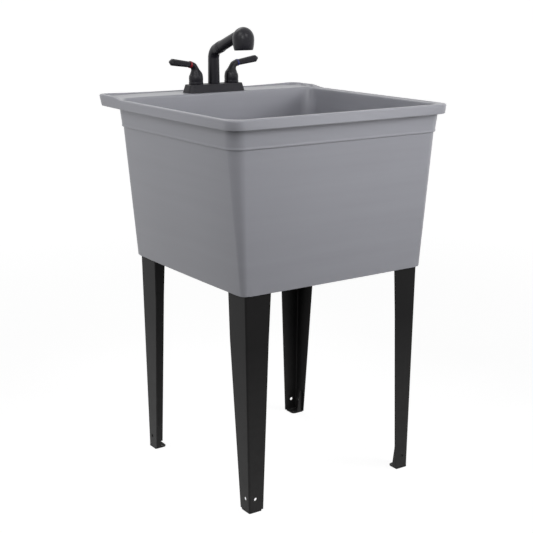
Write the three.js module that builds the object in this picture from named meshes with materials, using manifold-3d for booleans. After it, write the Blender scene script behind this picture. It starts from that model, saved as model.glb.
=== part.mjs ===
// A free-standing utility sink: a deep moulded tub on four angle legs, with a
// centre-set tap that has two lever handles and a pull-out spray head.
// Millimetres, +Z up, front towards -Y. The origin is on the floor, under the
// middle of the rim.
import * as THREE from 'three';
import { mergeVertices } from 'three/addons/utils/BufferGeometryUtils.js';
import Module from 'manifold-3d';

const wasm = await Module();
wasm.setup();

// ---------------------------------------------------------------- dimensions
const GAP = 0.3; // clearance left between pieces that touch

// rim and deck
const RIM_HALF_X = 292;
const RIM_HALF_Y = 306.5;
const RIM_CORNER = 32;
const APRON_BOTTOM = 850;
const RIM_TOP = 871.5; // crest of the front and side rims, and the deck tray
const RIM_DRAFT = 2; // the apron leans in by this much at its top
const RIM_ROUND = 4;
const RIM_WALL = 3.5;
const RIM_PLATE = 4; // thickness of the rim's top plate
const BORDER_RISE = 1.6; // raised border round the deck, at the middle of the back
const BORDER_EAR = 4; // extra rise of that border along the sides
const BORDER_WIDTH = 12;
const RISE_START = 168; // where the side rims start to rise towards the deck
const RISE_END = 218;

// bowl
const BOWL_Y = -34; // the bowl sits forward of the rim's middle
const BOWL_WALL = 4;
const BOWL_FOOT = 498.4; // lower edge of the tub's skirt
const STEP_LOW = 807.5; // the walls step out to the band between these heights
const STEP_HIGH = 811;
const BOWL_FLOOR = 530;
const BOWL_LEVELS = [
  { z: BOWL_FOOT, x: 248.1, y: 240.5, r: 14 },
  { z: STEP_LOW, x: 274.6, y: 251.6, r: 28 },
  { z: STEP_HIGH, x: 278.4, y: 255.2, r: 30 },
  { z: RIM_TOP - RIM_PLATE / 2, x: 281.5, y: 257.5, r: 32 },
];
const MOUTH_X = 275; // half width of the bowl's mouth where its lip starts
const MOUTH_Y = 247.8;
const MOUTH_CORNER = 36;
const MOUTH_SHIFT = -2.8; // the mouth's middle lies this far from the bowl's
const LIP = { x: 9, y: 8.5, corner: 8, shift: -2.5, rise: 6 }; // how far the lip opens

// drain
const DRAIN_BORE = 23;
const DRAIN_BOSS = 40;
const DRAIN_BOSS_BOTTOM = 511;
const DRAIN_SEAT = 519; // where the strainer's flange rests
const DRAIN_FLANGE = 35;
const DRAIN_TUBE = 22.3;
const DRAIN_TUBE_WALL = 3.3;
const DRAIN_END = 452;

// legs and feet
const LEG_SHEET = 2.2;
const LEG_TOP = 519;
const LEG_BOTTOM = 3.3;
const LEG_TOP_X = 235.3; // outer corner of a leg where it leaves the tub
const LEG_TOP_Y = 231.4;
const LEG_FOOT_X = 226.6; // outer corner of a leg at the floor
const LEG_FOOT_Y = 230.6;
const LEG_BEND = 4;
const LEG_HOLE = 4;
const LEG_HOLE_Z = 31;
const LEG_HOLE_IN = 17; // from the leg's corner to the hole's middle
const LEG_SHOULDER_Z = 390; // the flanges taper faster below this height
const SIDE_FLANGE = { top: 68, shoulder: 65.5, bottom: 36.5 };
const FACE_FLANGE = { top: 65, shoulder: 57.5, bottom: 36.5 };
const SOCKET_WALL = 6;
const FOOT_PLATE = 3;
const FOOT_SIZE = 32;
const FOOT_HEIGHT = 62;
const FOOT_SHEET = 2.2;
const FOOT_LIP_BOTTOM = 15;
const FOOT_LIP_TOP = 8;

// tap
const TAP_Y = 236.8; // axis of the tap's riser and valves
const VALVE_X = 51; // four-inch centres
const COVER_X = 80.5;
const COVER_Y = 23.4;
const COVER_CORNER = 13;
const COVER_BOTTOM = RIM_TOP + GAP;
const COVER_TOP = 891;
const COVER_DRAFT = 6;
const COVER_ROUND = 1.2;
const COVER_WALL = 2.4;
const BARREL = 11.6;
const BARREL_BORE = 8.8;
const BARREL_TOP = 902;
const SHANK = 9.9;
const SHANK_BORE = 6.5;
const SHANK_END = 818;
const SHANK_HOLE = 10.8;
const BOSS = 10;
const BOSS_BORE = 7.2;
const BOSS_TOP = 926;
const HUB_BOTTOM = COVER_TOP + 0.8;
const HUB_CAVITY = 14;
const HUB_CAVITY_TOP = 910;
const STEM = 4;
const RING_OUT = 17; // from a valve's axis to its colour ring
const LEVER_TILT = THREE.MathUtils.degToRad(8.5);
const LEVER_ROOT_Z = 939.5;
const LEVER_TIP = 78.6; // from a valve's axis to its lever's tip
const RISER = 14.3; // radius of the spout at its docking seam
const RISER_FOOT = 14.5;
const RISER_WAIST = 13.8; // radius round the elbow
const RISER_BORE = 12;
const ARM_TILT = THREE.MathUtils.degToRad(20.3);
const ARM_MEET_Z = 969.3; // where the riser's axis meets the arm's
const ELBOW_RADIUS = 25;
const DOCK = 31; // along the arm, from the riser's axis to the docking seam
const SLEEVE = 13.3; // radius of the wand's sleeve after its grooves
const SLEEVE_END = 12.6;
const HEAD_REACH = 136.3; // from the riser's axis to the spray head's
const HEAD_BOTTOM = 978;
const HEAD_TILT = 3; // degrees that the head's mouth looks outwards
const HEAD_RADIUS = 25.8;
const HEAD_MOUTH = 22.2;
const HEAD_WAIST = 26.4; // height of the head's widest ring above its mouth
const HEAD_DOME = 27.6;
const NECK_AT = 112; // along the arm, from the riser's axis to the head's seam

// ----------------------------------------------------------------- materials
const material = (color, roughness, metalness) =>
  new THREE.MeshStandardMaterial({ color, roughness, metalness });
const plasticGrey = () => material(0x8f9096, 0.45, 0);
const paintBlack = () => material(0x2b2a2b, 0.4, 0);
const tapBlack = () => material(0x232226, 0.45, 0.1);
const rubberBlack = () => material(0x1b1b1b, 0.85, 0);
const nylonWhite = () => material(0xd9d7cf, 0.5, 0);
const brass = () => material(0xb08a4a, 0.4, 0.9);
const zincSteel = () => material(0xa8abad, 0.35, 0.9);
const steelBright = () => material(0xc0c2c4, 0.25, 1);

// ------------------------------------------------------------ solid modelling
function toSolid(geometry) {
  const bare = geometry.clone();
  bare.deleteAttribute('normal');
  bare.deleteAttribute('uv');
  const merged = mergeVertices(bare, 1e-4);
  return new wasm.Manifold(new wasm.Mesh({
    numProp: 3,
    vertProperties: new Float32Array(merged.attributes.position.array),
    triVerts: new Uint32Array(merged.index.array),
  }));
}

function toGeometry(solid) {
  const result = solid.getMesh();
  const geometry = new THREE.BufferGeometry();
  geometry.setAttribute('position', new THREE.BufferAttribute(result.vertProperties, 3));
  geometry.setIndex(new THREE.BufferAttribute(result.triVerts, 1));
  return geometry;
}

const union = (first, ...rest) => rest.reduce((sum, next) => sum.add(next), first);
const cut = (first, ...rest) => rest.reduce((left, next) => left.subtract(next), first);

function moved(solid, x, y, z) {
  return solid.translate([x, y, z]);
}

// An upright cylinder between two heights.
function rod(radius, low, high, sides = 24) {
  const geometry = new THREE.CylinderGeometry(radius, radius, high - low, sides);
  geometry.rotateX(Math.PI / 2);
  geometry.translate(0, 0, (low + high) / 2);
  return toSolid(geometry);
}

function tube(outer, inner, low, high, sides = 24) {
  return cut(rod(outer, low, high, sides), rod(inner, low - 1, high + 1, sides));
}

function block(x, y, z, sizeX, sizeY, sizeZ) {
  const geometry = new THREE.BoxGeometry(sizeX, sizeY, sizeZ);
  geometry.translate(x, y, z);
  return toSolid(geometry);
}

// A body of revolution about Z from [radius, height] pairs that start and end
// on the axis.
function turned(profile, sides = 32) {
  const points = profile.map(([radius, height]) => new THREE.Vector2(radius, height));
  const geometry = new THREE.LatheGeometry(points, sides);
  geometry.rotateX(Math.PI / 2);
  return toSolid(geometry);
}

// A closed body through a stack of rings with equal point counts. Each ring is
// a loop of vectors that runs anticlockwise seen from the last ring's side.
function loft(rings) {
  const count = rings[0].length;
  const positions = rings.flat().flatMap((point) => [point.x, point.y, point.z]);
  const index = [];
  for (let level = 0; level + 1 < rings.length; level += 1) {
    for (let i = 0; i < count; i += 1) {
      const a = level * count + i;
      const b = level * count + ((i + 1) % count);
      index.push(a, b, b + count, a, b + count, a + count);
    }
  }
  const last = (rings.length - 1) * count;
  for (const [offset, turn] of [[0, true], [last, false]]) {
    const ring = rings[offset / count];
    for (const [a, b, c] of THREE.ShapeUtils.triangulateShape(flatten(ring), [])) {
      const corners = turn ? [c, b, a] : [a, b, c];
      index.push(...corners.map((corner) => corner + offset));
    }
  }
  const geometry = new THREE.BufferGeometry();
  geometry.setAttribute('position', new THREE.Float32BufferAttribute(positions, 3));
  geometry.setIndex(index);
  return toSolid(geometry);
}

// The ring's outline in the plane that shows it at its largest.
function flatten(ring) {
  const centre = ring.reduce((sum, point) => sum.add(point), new THREE.Vector3());
  centre.divideScalar(ring.length);
  const normal = new THREE.Vector3();
  ring.forEach((point, i) => {
    const next = ring[(i + 1) % ring.length];
    normal.add(point.clone().sub(centre).cross(next.clone().sub(centre)));
  });
  normal.normalize();
  const across = ring[0].clone().sub(centre);
  across.addScaledVector(normal, -across.dot(normal)).normalize();
  const along = normal.clone().cross(across);
  return ring.map((point) => {
    const arm = point.clone().sub(centre);
    return new THREE.Vector2(arm.dot(across), arm.dot(along));
  });
}

// A rounded rectangle at one height. sideY and backX add points on the long
// sides and on the back edge, where the outline has to bend out of its plane.
function roundedRing({ x, y, r, z, shift = 0, steps = 5, sideY = [], backX = [] }) {
  const ring = [];
  const corner = (centreX, centreY, start) => {
    for (let i = 0; i <= steps; i += 1) {
      const angle = start + (Math.PI / 2) * (i / steps);
      ring.push(new THREE.Vector3(
        centreX + r * Math.cos(angle), shift + centreY + r * Math.sin(angle), z,
      ));
    }
  };
  corner(x - r, y - r, 0);
  [...backX].reverse().forEach((at) => ring.push(new THREE.Vector3(at, shift + y, z)));
  corner(r - x, y - r, Math.PI / 2);
  [...sideY].reverse().forEach((at) => ring.push(new THREE.Vector3(-x, at, z)));
  corner(r - x, r - y, Math.PI);
  corner(x - r, r - y, 1.5 * Math.PI);
  sideY.forEach((at) => ring.push(new THREE.Vector3(x, at, z)));
  return ring;
}

// A bowl outline at a height, taken between the bowl's levels and drawn in.
function bowlRing(z, inset) {
  const above = BOWL_LEVELS.findIndex((level) => level.z >= z);
  const high = BOWL_LEVELS[Math.max(above, 1)];
  const low = BOWL_LEVELS[Math.max(above, 1) - 1];
  const share = (z - low.z) / (high.z - low.z);
  const between = (key) => THREE.MathUtils.lerp(low[key], high[key], share);
  const r = Math.max(between('r') - inset, 4);
  return roundedRing({
    x: between('x') - inset, y: between('y') - inset, r, z, shift: BOWL_Y,
  });
}

const meshes = [];

function piece(name, solid, look) {
  const mesh = new THREE.Mesh(toGeometry(solid), look);
  mesh.name = name;
  meshes.push(mesh);
  return mesh;
}

// ----------------------------------------------------------------------- tub
// The deck's border rises along the side rims in an S-curve, and its back
// edge dips a little between the corners.
function borderLift(x, y) {
  const share = THREE.MathUtils.smoothstep(y, RISE_START, RISE_END);
  return share * (BORDER_RISE + BORDER_EAR * Math.abs(x / RIM_HALF_X) ** 3);
}

function rimBlock() {
  const sideY = [];
  for (let i = 0; i <= 6; i += 1) {
    sideY.push(THREE.MathUtils.lerp(RISE_START, RISE_END, i / 6));
  }
  const backX = [-180, -80, 80, 180];
  const ring = (inset, z, lifted) => {
    const outline = roundedRing({
      x: RIM_HALF_X - inset, y: RIM_HALF_Y - inset, r: RIM_CORNER - inset, z, sideY, backX,
    });
    outline.forEach((point) => {
      point.z += lifted ? borderLift(point.x, point.y) : 0;
    });
    return outline;
  };
  const rings = [ring(0.8, APRON_BOTTOM, false), ring(0, APRON_BOTTOM + 1.2, false)];
  for (let i = 0; i <= 3; i += 1) {
    const angle = (Math.PI / 2) * (i / 3);
    const inset = RIM_DRAFT + RIM_ROUND * (1 - Math.cos(angle));
    rings.push(ring(inset, RIM_TOP - RIM_ROUND + RIM_ROUND * Math.sin(angle), true));
  }
  rings.push(ring(RIM_CORNER - 6, RIM_TOP, true));
  return loft(rings);
}

function rimVoid() {
  const ring = (z) => roundedRing({
    x: RIM_HALF_X - RIM_WALL - 1, y: RIM_HALF_Y - RIM_WALL - 1, r: RIM_CORNER - RIM_WALL, z,
  });
  return loft([ring(APRON_BOTTOM - 5), ring(RIM_TOP - RIM_PLATE)]);
}

function bowlOutside() {
  return loft(BOWL_LEVELS.map(({ z }) => bowlRing(z, 0)));
}

// The hollow of the bowl: a round-cornered floor that falls to the drain,
// coved into drafted walls that end in the rounded mouth.
function bowlInside() {
  const floorRing = (drop, inset) => bowlRing(BOWL_FLOOR + drop, inset + BOWL_WALL);
  const drainRing = roundedRing({
    x: DRAIN_FLANGE + 4, y: DRAIN_FLANGE + 4, r: DRAIN_FLANGE + 3, z: DRAIN_SEAT + 4.6, shift: BOWL_Y,
  });
  const rings = [drainRing];
  const cove = 26;
  for (let i = 0; i <= 3; i += 1) {
    const angle = (Math.PI / 2) * (i / 3);
    rings.push(floorRing(cove * (1 - Math.cos(angle)), cove * (1 - Math.sin(angle))));
  }
  const mouth = (inset, open, z) => roundedRing({
    x: MOUTH_X - inset + LIP.x * open,
    y: MOUTH_Y - inset + LIP.y * open,
    r: MOUTH_CORNER - inset + LIP.corner * open,
    z,
    shift: BOWL_Y + MOUTH_SHIFT + LIP.shift * open,
  });
  rings.push(mouth(4.2, 0, STEP_LOW));
  for (let i = 0; i <= 4; i += 1) {
    const angle = (Math.PI / 2) * (i / 4);
    rings.push(mouth(0, 1 - Math.cos(angle), RIM_TOP - LIP.rise * (1 - Math.sin(angle))));
  }
  rings.push(mouth(0, 1.1, RIM_TOP + 20));
  return loft(rings);
}

function deckTray() {
  const back = RIM_HALF_Y - BORDER_WIDTH;
  const front = BOWL_Y;
  const tray = (inset, z) => roundedRing({
    x: RIM_HALF_X - BORDER_WIDTH - inset,
    y: (back - front) / 2 - inset,
    r: RIM_CORNER - 8 - inset,
    z,
    shift: (back + front) / 2,
  });
  return loft([tray(2, RIM_TOP), tray(0, RIM_TOP + 3), tray(-2, RIM_TOP + 20)]);
}

// The space below the bowl's floor, open to the underside.
function bowlUnderside() {
  const centre = roundedRing({
    x: 62, y: 62, r: 61, z: DRAIN_SEAT - 1.5, shift: BOWL_Y,
  });
  return loft([
    bowlRing(BOWL_FOOT, BOWL_WALL).map((point) => point.setZ(BOWL_FOOT - 2)),
    bowlRing(BOWL_FLOOR - 10, BOWL_WALL),
    bowlRing(BOWL_FLOOR - 6.5, BOWL_WALL + 4),
    centre,
  ]);
}

// Where a leg's outer corner is at a height, on the +X +Y side of the bowl.
function legCorner(z) {
  const share = z / BOWL_FOOT;
  return {
    x: THREE.MathUtils.lerp(LEG_FOOT_X, LEG_TOP_X, share),
    y: THREE.MathUtils.lerp(LEG_FOOT_Y, LEG_TOP_Y, share),
  };
}

function flangeWidth({ top, shoulder, bottom }, z) {
  if (z > LEG_SHOULDER_Z) {
    return THREE.MathUtils.mapLinear(z, LEG_SHOULDER_Z, BOWL_FOOT, shoulder, top);
  }
  return THREE.MathUtils.mapLinear(z, LEG_BOTTOM, LEG_SHOULDER_Z, bottom, shoulder);
}

// An angle section at one height, its outer corner out towards +X +Y. grow
// fattens the section all round, for the socket that holds it.
function angleRing(z, grow = 0) {
  const corner = legCorner(z);
  const outX = corner.x + grow;
  const outY = corner.y + grow;
  const inX = corner.x - LEG_SHEET - grow;
  const inY = corner.y - LEG_SHEET - grow;
  const endX = corner.x - flangeWidth(FACE_FLANGE, z) - grow;
  const endY = corner.y - flangeWidth(SIDE_FLANGE, z) - grow;
  const ring = [new THREE.Vector3(endX, inY, z), new THREE.Vector3(inX, inY, z)];
  ring.push(new THREE.Vector3(inX, endY, z), new THREE.Vector3(outX, endY, z));
  for (let i = 0; i <= 4; i += 1) {
    const angle = (Math.PI / 2) * (i / 4);
    ring.push(new THREE.Vector3(
      outX - LEG_BEND + LEG_BEND * Math.cos(angle),
      outY - LEG_BEND + LEG_BEND * Math.sin(angle),
      z,
    ));
  }
  ring.push(new THREE.Vector3(endX, outY, z));
  return ring;
}

// A socket block on the +X +Y side, under the bowl's floor, round a leg's top.
function socketBlock() {
  const corner = legCorner(BOWL_FOOT);
  const low = BOWL_FOOT;
  const height = BOWL_FLOOR - 5 - low;
  const middle = low + height / 2;
  const wallX = BOWL_LEVELS[0].x - 2;
  const wallY = BOWL_LEVELS[0].y - 2;
  const innerX = corner.x - LEG_SHEET - SOCKET_WALL;
  const innerY = corner.y - LEG_SHEET - SOCKET_WALL;
  const reachX = corner.x - FACE_FLANGE.top - SOCKET_WALL;
  const reachY = corner.y - SIDE_FLANGE.top - SOCKET_WALL;
  const across = block(
    (reachX + wallX) / 2, (innerY + wallY) / 2, middle, wallX - reachX, wallY - innerY, height,
  );
  const along = block(
    (innerX + wallX) / 2, (reachY + wallY) / 2, middle, wallX - innerX, wallY - reachY, height,
  );
  return union(across, along);
}

const SCREW_IN = 34; // from a leg's corner to its screw, along the face flange
const SCREW_Z = 509;
const SCREW_SHANK = 2.1;
const SCREW_HEAD = 4.4;

// The fixing screw of one leg, lying along Y, its head on the socket block.
function screwSolid(grow = 0) {
  const corner = legCorner(SCREW_Z);
  const headFace = corner.y - LEG_SHEET - SOCKET_WALL - GAP;
  const shank = rod(SCREW_SHANK + grow, -1, 11.5 + grow, 10);
  const head = rod(SCREW_HEAD, -2.6, 0, 14);
  const drive = block(0, 0, -2.6, 1.1, 6, 2.4);
  const upright = grow > 0 ? shank : cut(union(shank, head), drive);
  const screw = upright.rotate([-90, 0, 0]);
  return moved(screw, corner.x - SCREW_IN, headFace, SCREW_Z);
}

// The four corners as mirror pairs about the bowl's middle.
const CORNERS = [
  { name: 'front_left', x: -1, y: -1 },
  { name: 'front_right', x: 1, y: -1 },
  { name: 'back_left', x: -1, y: 1 },
  { name: 'back_right', x: 1, y: 1 },
];

function toCorner(solid, corner) {
  let result = solid;
  if (corner.x < 0) {
    result = result.mirror([1, 0, 0]);
  }
  if (corner.y < 0) {
    result = result.mirror([0, 1, 0]);
  }
  return moved(result, 0, BOWL_Y, 0);
}

function tapHoles() {
  const low = RIM_TOP - 12;
  const high = RIM_TOP + 12;
  const shank = rod(SHANK_HOLE, low, high);
  const slot = union(
    moved(rod(13, low, high), -13, TAP_Y, 0),
    moved(rod(13, low, high), 13, TAP_Y, 0),
    block(0, TAP_Y, RIM_TOP, 26, 26, 24),
  );
  return union(moved(shank, -VALVE_X, TAP_Y, 0), moved(shank, VALVE_X, TAP_Y, 0), slot);
}

function buildTub() {
  const outside = bowlOutside();
  const rim = cut(rimBlock(), cut(rimVoid(), outside));
  const sockets = union(...CORNERS.map((corner) => toCorner(socketBlock(), corner)))
    .intersect(outside);
  const slots = CORNERS.flatMap((corner) => [
    toCorner(loft([angleRing(BOWL_FOOT - 2, GAP), angleRing(LEG_TOP + GAP, GAP)]), corner),
    toCorner(screwSolid(GAP), corner),
  ]);
  const boss = moved(rod(DRAIN_BOSS, DRAIN_BOSS_BOTTOM, DRAIN_SEAT + 2, 32), 0, BOWL_Y, 0);
  const recess = moved(rod(DRAIN_FLANGE + 1.5, DRAIN_SEAT, DRAIN_SEAT + 9, 32), 0, BOWL_Y, 0);
  const bore = moved(rod(DRAIN_BORE, BOWL_FOOT, DRAIN_SEAT + 9, 32), 0, BOWL_Y, 0);
  const shell = cut(union(outside, rim), bowlInside(), deckTray(), bowlUnderside());
  const floored = union(shell, boss, sockets);
  return cut(floored, recess, bore, tapHoles(), ...slots);
}

piece('tub', buildTub(), plasticGrey());

// ------------------------------------------------------------- legs and feet
function legSolid() {
  const angle = loft([
    angleRing(LEG_BOTTOM), angleRing(LEG_SHOULDER_Z), angleRing(BOWL_FOOT), angleRing(LEG_TOP),
  ]);
  const corner = legCorner(LEG_HOLE_Z);
  const hole = rod(LEG_HOLE, -6, 6, 16);
  const faceHole = moved(
    hole.rotate([90, 0, 0]), corner.x - LEG_HOLE_IN, corner.y, LEG_HOLE_Z,
  );
  const sideHole = moved(
    hole.rotate([0, 90, 0]), corner.x, corner.y - LEG_HOLE_IN, LEG_HOLE_Z,
  );
  return cut(angle, faceHole, sideHole, screwSolid(GAP));
}

// A bent foot inside the leg: a floor plate with a round free corner, a wall
// that leans on one flange of the leg, and a tapered return lip. The wall
// stands on the side flange, or on the face flange where onFace is set.
function footSolid(onFace) {
  const corner = legCorner(FOOT_PLATE);
  const plate = new THREE.Shape();
  const round = 11;
  plate.moveTo(0, 0);
  plate.lineTo(0, -FOOT_SIZE);
  plate.lineTo(-FOOT_SIZE + round, -FOOT_SIZE);
  plate.absarc(-FOOT_SIZE + round, -FOOT_SIZE + round, round, 1.5 * Math.PI, Math.PI, true);
  plate.lineTo(-FOOT_SIZE, 0);
  const base = toSolid(new THREE.ExtrudeGeometry(plate, {
    depth: FOOT_PLATE, bevelEnabled: false, curveSegments: 6,
  }));
  const floorHole = moved(rod(3.5, -1, FOOT_PLATE + 1, 14), 8 - FOOT_SIZE, 10 - FOOT_SIZE, 0);
  const wallOut = -LEG_SHEET - GAP;
  const leanAxis = onFace ? 'y' : 'x';
  const leanBack = (z) => legCorner(z)[leanAxis] - corner[leanAxis];
  const wallRing = (z, back, deep) => [
    new THREE.Vector3(wallOut + leanBack(z) - FOOT_SHEET, -deep, z),
    new THREE.Vector3(wallOut + leanBack(z), -deep, z),
    new THREE.Vector3(wallOut + leanBack(z), back, z),
    new THREE.Vector3(wallOut + leanBack(z) - FOOT_SHEET, back, z),
  ];
  const wallBack = -LEG_SHEET - LEG_BEND;
  const wall = loft([
    wallRing(FOOT_PLATE - 1, wallBack, FOOT_SIZE), wallRing(FOOT_HEIGHT, wallBack, FOOT_SIZE),
  ]);
  const lipRing = (z, width) => [
    new THREE.Vector3(wallOut + leanBack(z) - width, -FOOT_SIZE, z),
    new THREE.Vector3(wallOut + leanBack(z), -FOOT_SIZE, z),
    new THREE.Vector3(wallOut + leanBack(z), -FOOT_SIZE + FOOT_SHEET, z),
    new THREE.Vector3(wallOut + leanBack(z) - width, -FOOT_SIZE + FOOT_SHEET, z),
  ];
  const lip = loft([
    lipRing(FOOT_PLATE - 1, FOOT_LIP_BOTTOM), lipRing(FOOT_HEIGHT - 4, FOOT_LIP_TOP),
  ]);
  const bolt = rod(LEG_HOLE, -8, 8, 16).rotate([0, 90, 0]);
  const through = moved(bolt, 0, -LEG_HOLE_IN, LEG_HOLE_Z);
  const foot = cut(union(base, wall, lip), floorHole, through);
  return moved(onFace ? foot.mirror([1, -1, 0]) : foot, corner.x, corner.y, 0);
}

for (const corner of CORNERS) {
  piece(`leg_${corner.name}`, toCorner(legSolid(), corner), paintBlack());
  piece(`foot_${corner.name}`, toCorner(footSolid(corner.y < 0), corner), paintBlack());
  piece(`leg_screw_${corner.name}`, toCorner(screwSolid(), corner), zincSteel());
}

// --------------------------------------------------------------------- drain
function atDrain(solid) {
  return moved(solid, 0, BOWL_Y, 0);
}

function hexPrism(flats, low, high) {
  const geometry = new THREE.CylinderGeometry(
    flats / Math.sqrt(3), flats / Math.sqrt(3), high - low, 6,
  );
  geometry.rotateX(Math.PI / 2);
  geometry.translate(0, 0, (low + high) / 2);
  return toSolid(geometry);
}

// The strainer: a flange in the bowl's floor, a threaded tail and a cross.
function drainBody() {
  const flangeLow = DRAIN_SEAT + GAP;
  const flangeTop = flangeLow + 3;
  const throat = DRAIN_TUBE - DRAIN_TUBE_WALL;
  const shell = turned([
    [0, DRAIN_END], [DRAIN_TUBE - 1, DRAIN_END], [DRAIN_TUBE, DRAIN_END + 1],
    [DRAIN_TUBE, flangeLow], [DRAIN_FLANGE, flangeLow], [DRAIN_FLANGE, flangeTop - 1],
    [DRAIN_FLANGE - 3, flangeTop], [0, flangeTop],
  ], 32);
  const bore = turned([
    [0, DRAIN_END - 1], [throat, DRAIN_END - 1], [throat, 507], [throat + 1.2, 510],
    [throat + 1.6, flangeTop - 2], [throat + 4, flangeTop + 0.5], [0, flangeTop + 0.5],
  ], 32);
  const bars = union(
    block(0, 0, 504, 2 * throat + 2, 3, 4), block(0, 0, 504, 3, 2 * throat + 2, 4),
  );
  return atDrain(union(cut(shell, bore), bars));
}

function drainStopper() {
  const low = 510.5;
  const seat = DRAIN_SEAT + GAP + 3 + GAP;
  const plug = DRAIN_TUBE - DRAIN_TUBE_WALL + 0.2;
  return atDrain(turned([
    [0, low], [plug - 1.4, low], [plug - 0.6, low + 1], [plug, seat - 3],
    [plug + 3, seat], [plug + 5.5, seat + 0.2], [plug + 6, seat + 1.5], [plug + 4.5, seat + 3],
    [6, seat + 4], [4, seat + 6], [4, seat + 9], [6.5, seat + 12], [6.5, seat + 15],
    [4.5, seat + 17], [0, seat + 17.5],
  ], 24));
}

function lockNut() {
  const low = 494;
  const high = DRAIN_BOSS_BOTTOM - GAP - 2.6 - GAP - 1.4 - GAP;
  const ring = union(rod(31, low, high, 32), rod(34, high - 3, high, 32));
  const lugs = [0, 1, 2, 3].map((i) =>
    moved(block(32, 0, (low + high) / 2, 6, 8, high - low), 0, 0, 0).rotate([0, 0, 90 * i + 45]));
  return atDrain(cut(union(ring, ...lugs), rod(DRAIN_TUBE + GAP, low - 1, high + 1, 32)));
}

const gasketTop = DRAIN_BOSS_BOTTOM - GAP;
const washerTop = gasketTop - 2.6 - GAP;
piece('drain_body', drainBody(), steelBright());
piece(
  'drain_gasket',
  atDrain(tube(36, DRAIN_TUBE + GAP, gasketTop - 2.6, gasketTop, 24)),
  rubberBlack(),
);
piece(
  'drain_friction_washer',
  atDrain(tube(34, DRAIN_TUBE + GAP, washerTop - 1.4, washerTop, 24)),
  nylonWhite(),
);
piece('drain_locknut', lockNut(), nylonWhite());
piece('drain_stopper', drainStopper(), rubberBlack());

// ------------------------------------------------------------------- tap body
// turn is how far a handle stands open at rest, in degrees towards the front.
const SIDES = [{ name: 'hot', x: -1, turn: 6 }, { name: 'cold', x: 1, turn: 0 }];

function atTap(solid, x = 0) {
  return moved(solid, x, TAP_Y, 0);
}

function coverOutline(inset, z) {
  return roundedRing({
    x: COVER_X - inset, y: COVER_Y - inset, r: COVER_CORNER - inset, z,
  });
}

function tapCover() {
  const rings = [coverOutline(0, COVER_BOTTOM), coverOutline(0.4, COVER_BOTTOM + 1.5)];
  for (let i = 0; i <= 3; i += 1) {
    const angle = (Math.PI / 2) * (i / 3);
    const inset = COVER_DRAFT + COVER_ROUND * (1 - Math.cos(angle));
    rings.push(coverOutline(inset, COVER_TOP - COVER_ROUND * (1 - Math.sin(angle))));
  }
  const hollow = loft([
    coverOutline(COVER_WALL, COVER_BOTTOM - 1),
    coverOutline(COVER_WALL + COVER_DRAFT, COVER_TOP - COVER_WALL),
  ]);
  const valveHole = rod(BARREL + 0.7, COVER_TOP - 6, COVER_TOP + 2);
  const bossHole = rod(BOSS + 0.5, COVER_TOP - 6, COVER_TOP + 2);
  return atTap(cut(
    loft(rings), hollow, moved(valveHole, -VALVE_X, 0, 0), moved(valveHole, VALVE_X, 0, 0), bossHole,
  ));
}

function tapGasket() {
  const low = RIM_TOP + GAP;
  const high = RIM_TOP + 1.6;
  const pad = loft([coverOutline(4, low), coverOutline(4, high)]);
  const window = loft([coverOutline(7.4, low - 1), coverOutline(7.4, high + 1)]);
  return atTap(cut(pad, window));
}

// The water way: two valve barrels on threaded shanks, joined by a bridge to
// the hollow boss that carries the spout.
function tapBody() {
  const bridgeLow = RIM_TOP + GAP;
  const bridgeHigh = 884;
  const bridge = block(0, 0, (bridgeLow + bridgeHigh) / 2, 2 * VALVE_X, 20, bridgeHigh - bridgeLow);
  const collar = rod(15, bridgeLow, bridgeHigh, 20);
  const valve = union(rod(BARREL, bridgeLow, BARREL_TOP, 20), collar, rod(SHANK, SHANK_END, bridgeLow + 1, 20));
  const valveBore = union(
    rod(BARREL_BORE, 880, BARREL_TOP + 1, 20), rod(SHANK_BORE, SHANK_END - 1, 872, 16), rod(4, 870, 881, 12),
  );
  const boss = union(rod(BOSS, bridgeLow, BOSS_TOP, 20), rod(10, 858, bridgeLow + 1, 20));
  const groove = tube(BOSS + 2, BOSS - 1.4, 917, 920, 20);
  const outlet = moved(union(rod(5.5, 842, bridgeLow + 1, 14), rod(7, 862, bridgeLow + 1, 6)), 19, 0, 0);
  const mixing = rod(2.6, -VALVE_X, VALVE_X, 12).rotate([0, 90, 0]);
  const body = union(
    bridge, moved(valve, -VALVE_X, 0, 0), moved(valve, VALVE_X, 0, 0), boss, outlet,
  );
  return atTap(cut(
    body,
    moved(valveBore, -VALVE_X, 0, 0),
    moved(valveBore, VALVE_X, 0, 0),
    moved(mixing, 0, 6, 880.5),
    moved(rod(2.6, 841, 880.5, 12), 19, 0, 0),
    moved(rod(2, 0, 6, 10).rotate([-90, 0, 0]), 19, 0, 879.5),
    rod(BOSS_BORE, 857, BOSS_TOP + 1, 16),
    groove,
  ));
}

piece('tap_gasket', tapGasket(), rubberBlack());
piece('tap_cover', tapCover(), tapBlack());
piece('tap_body', tapBody(), brass());

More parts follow.
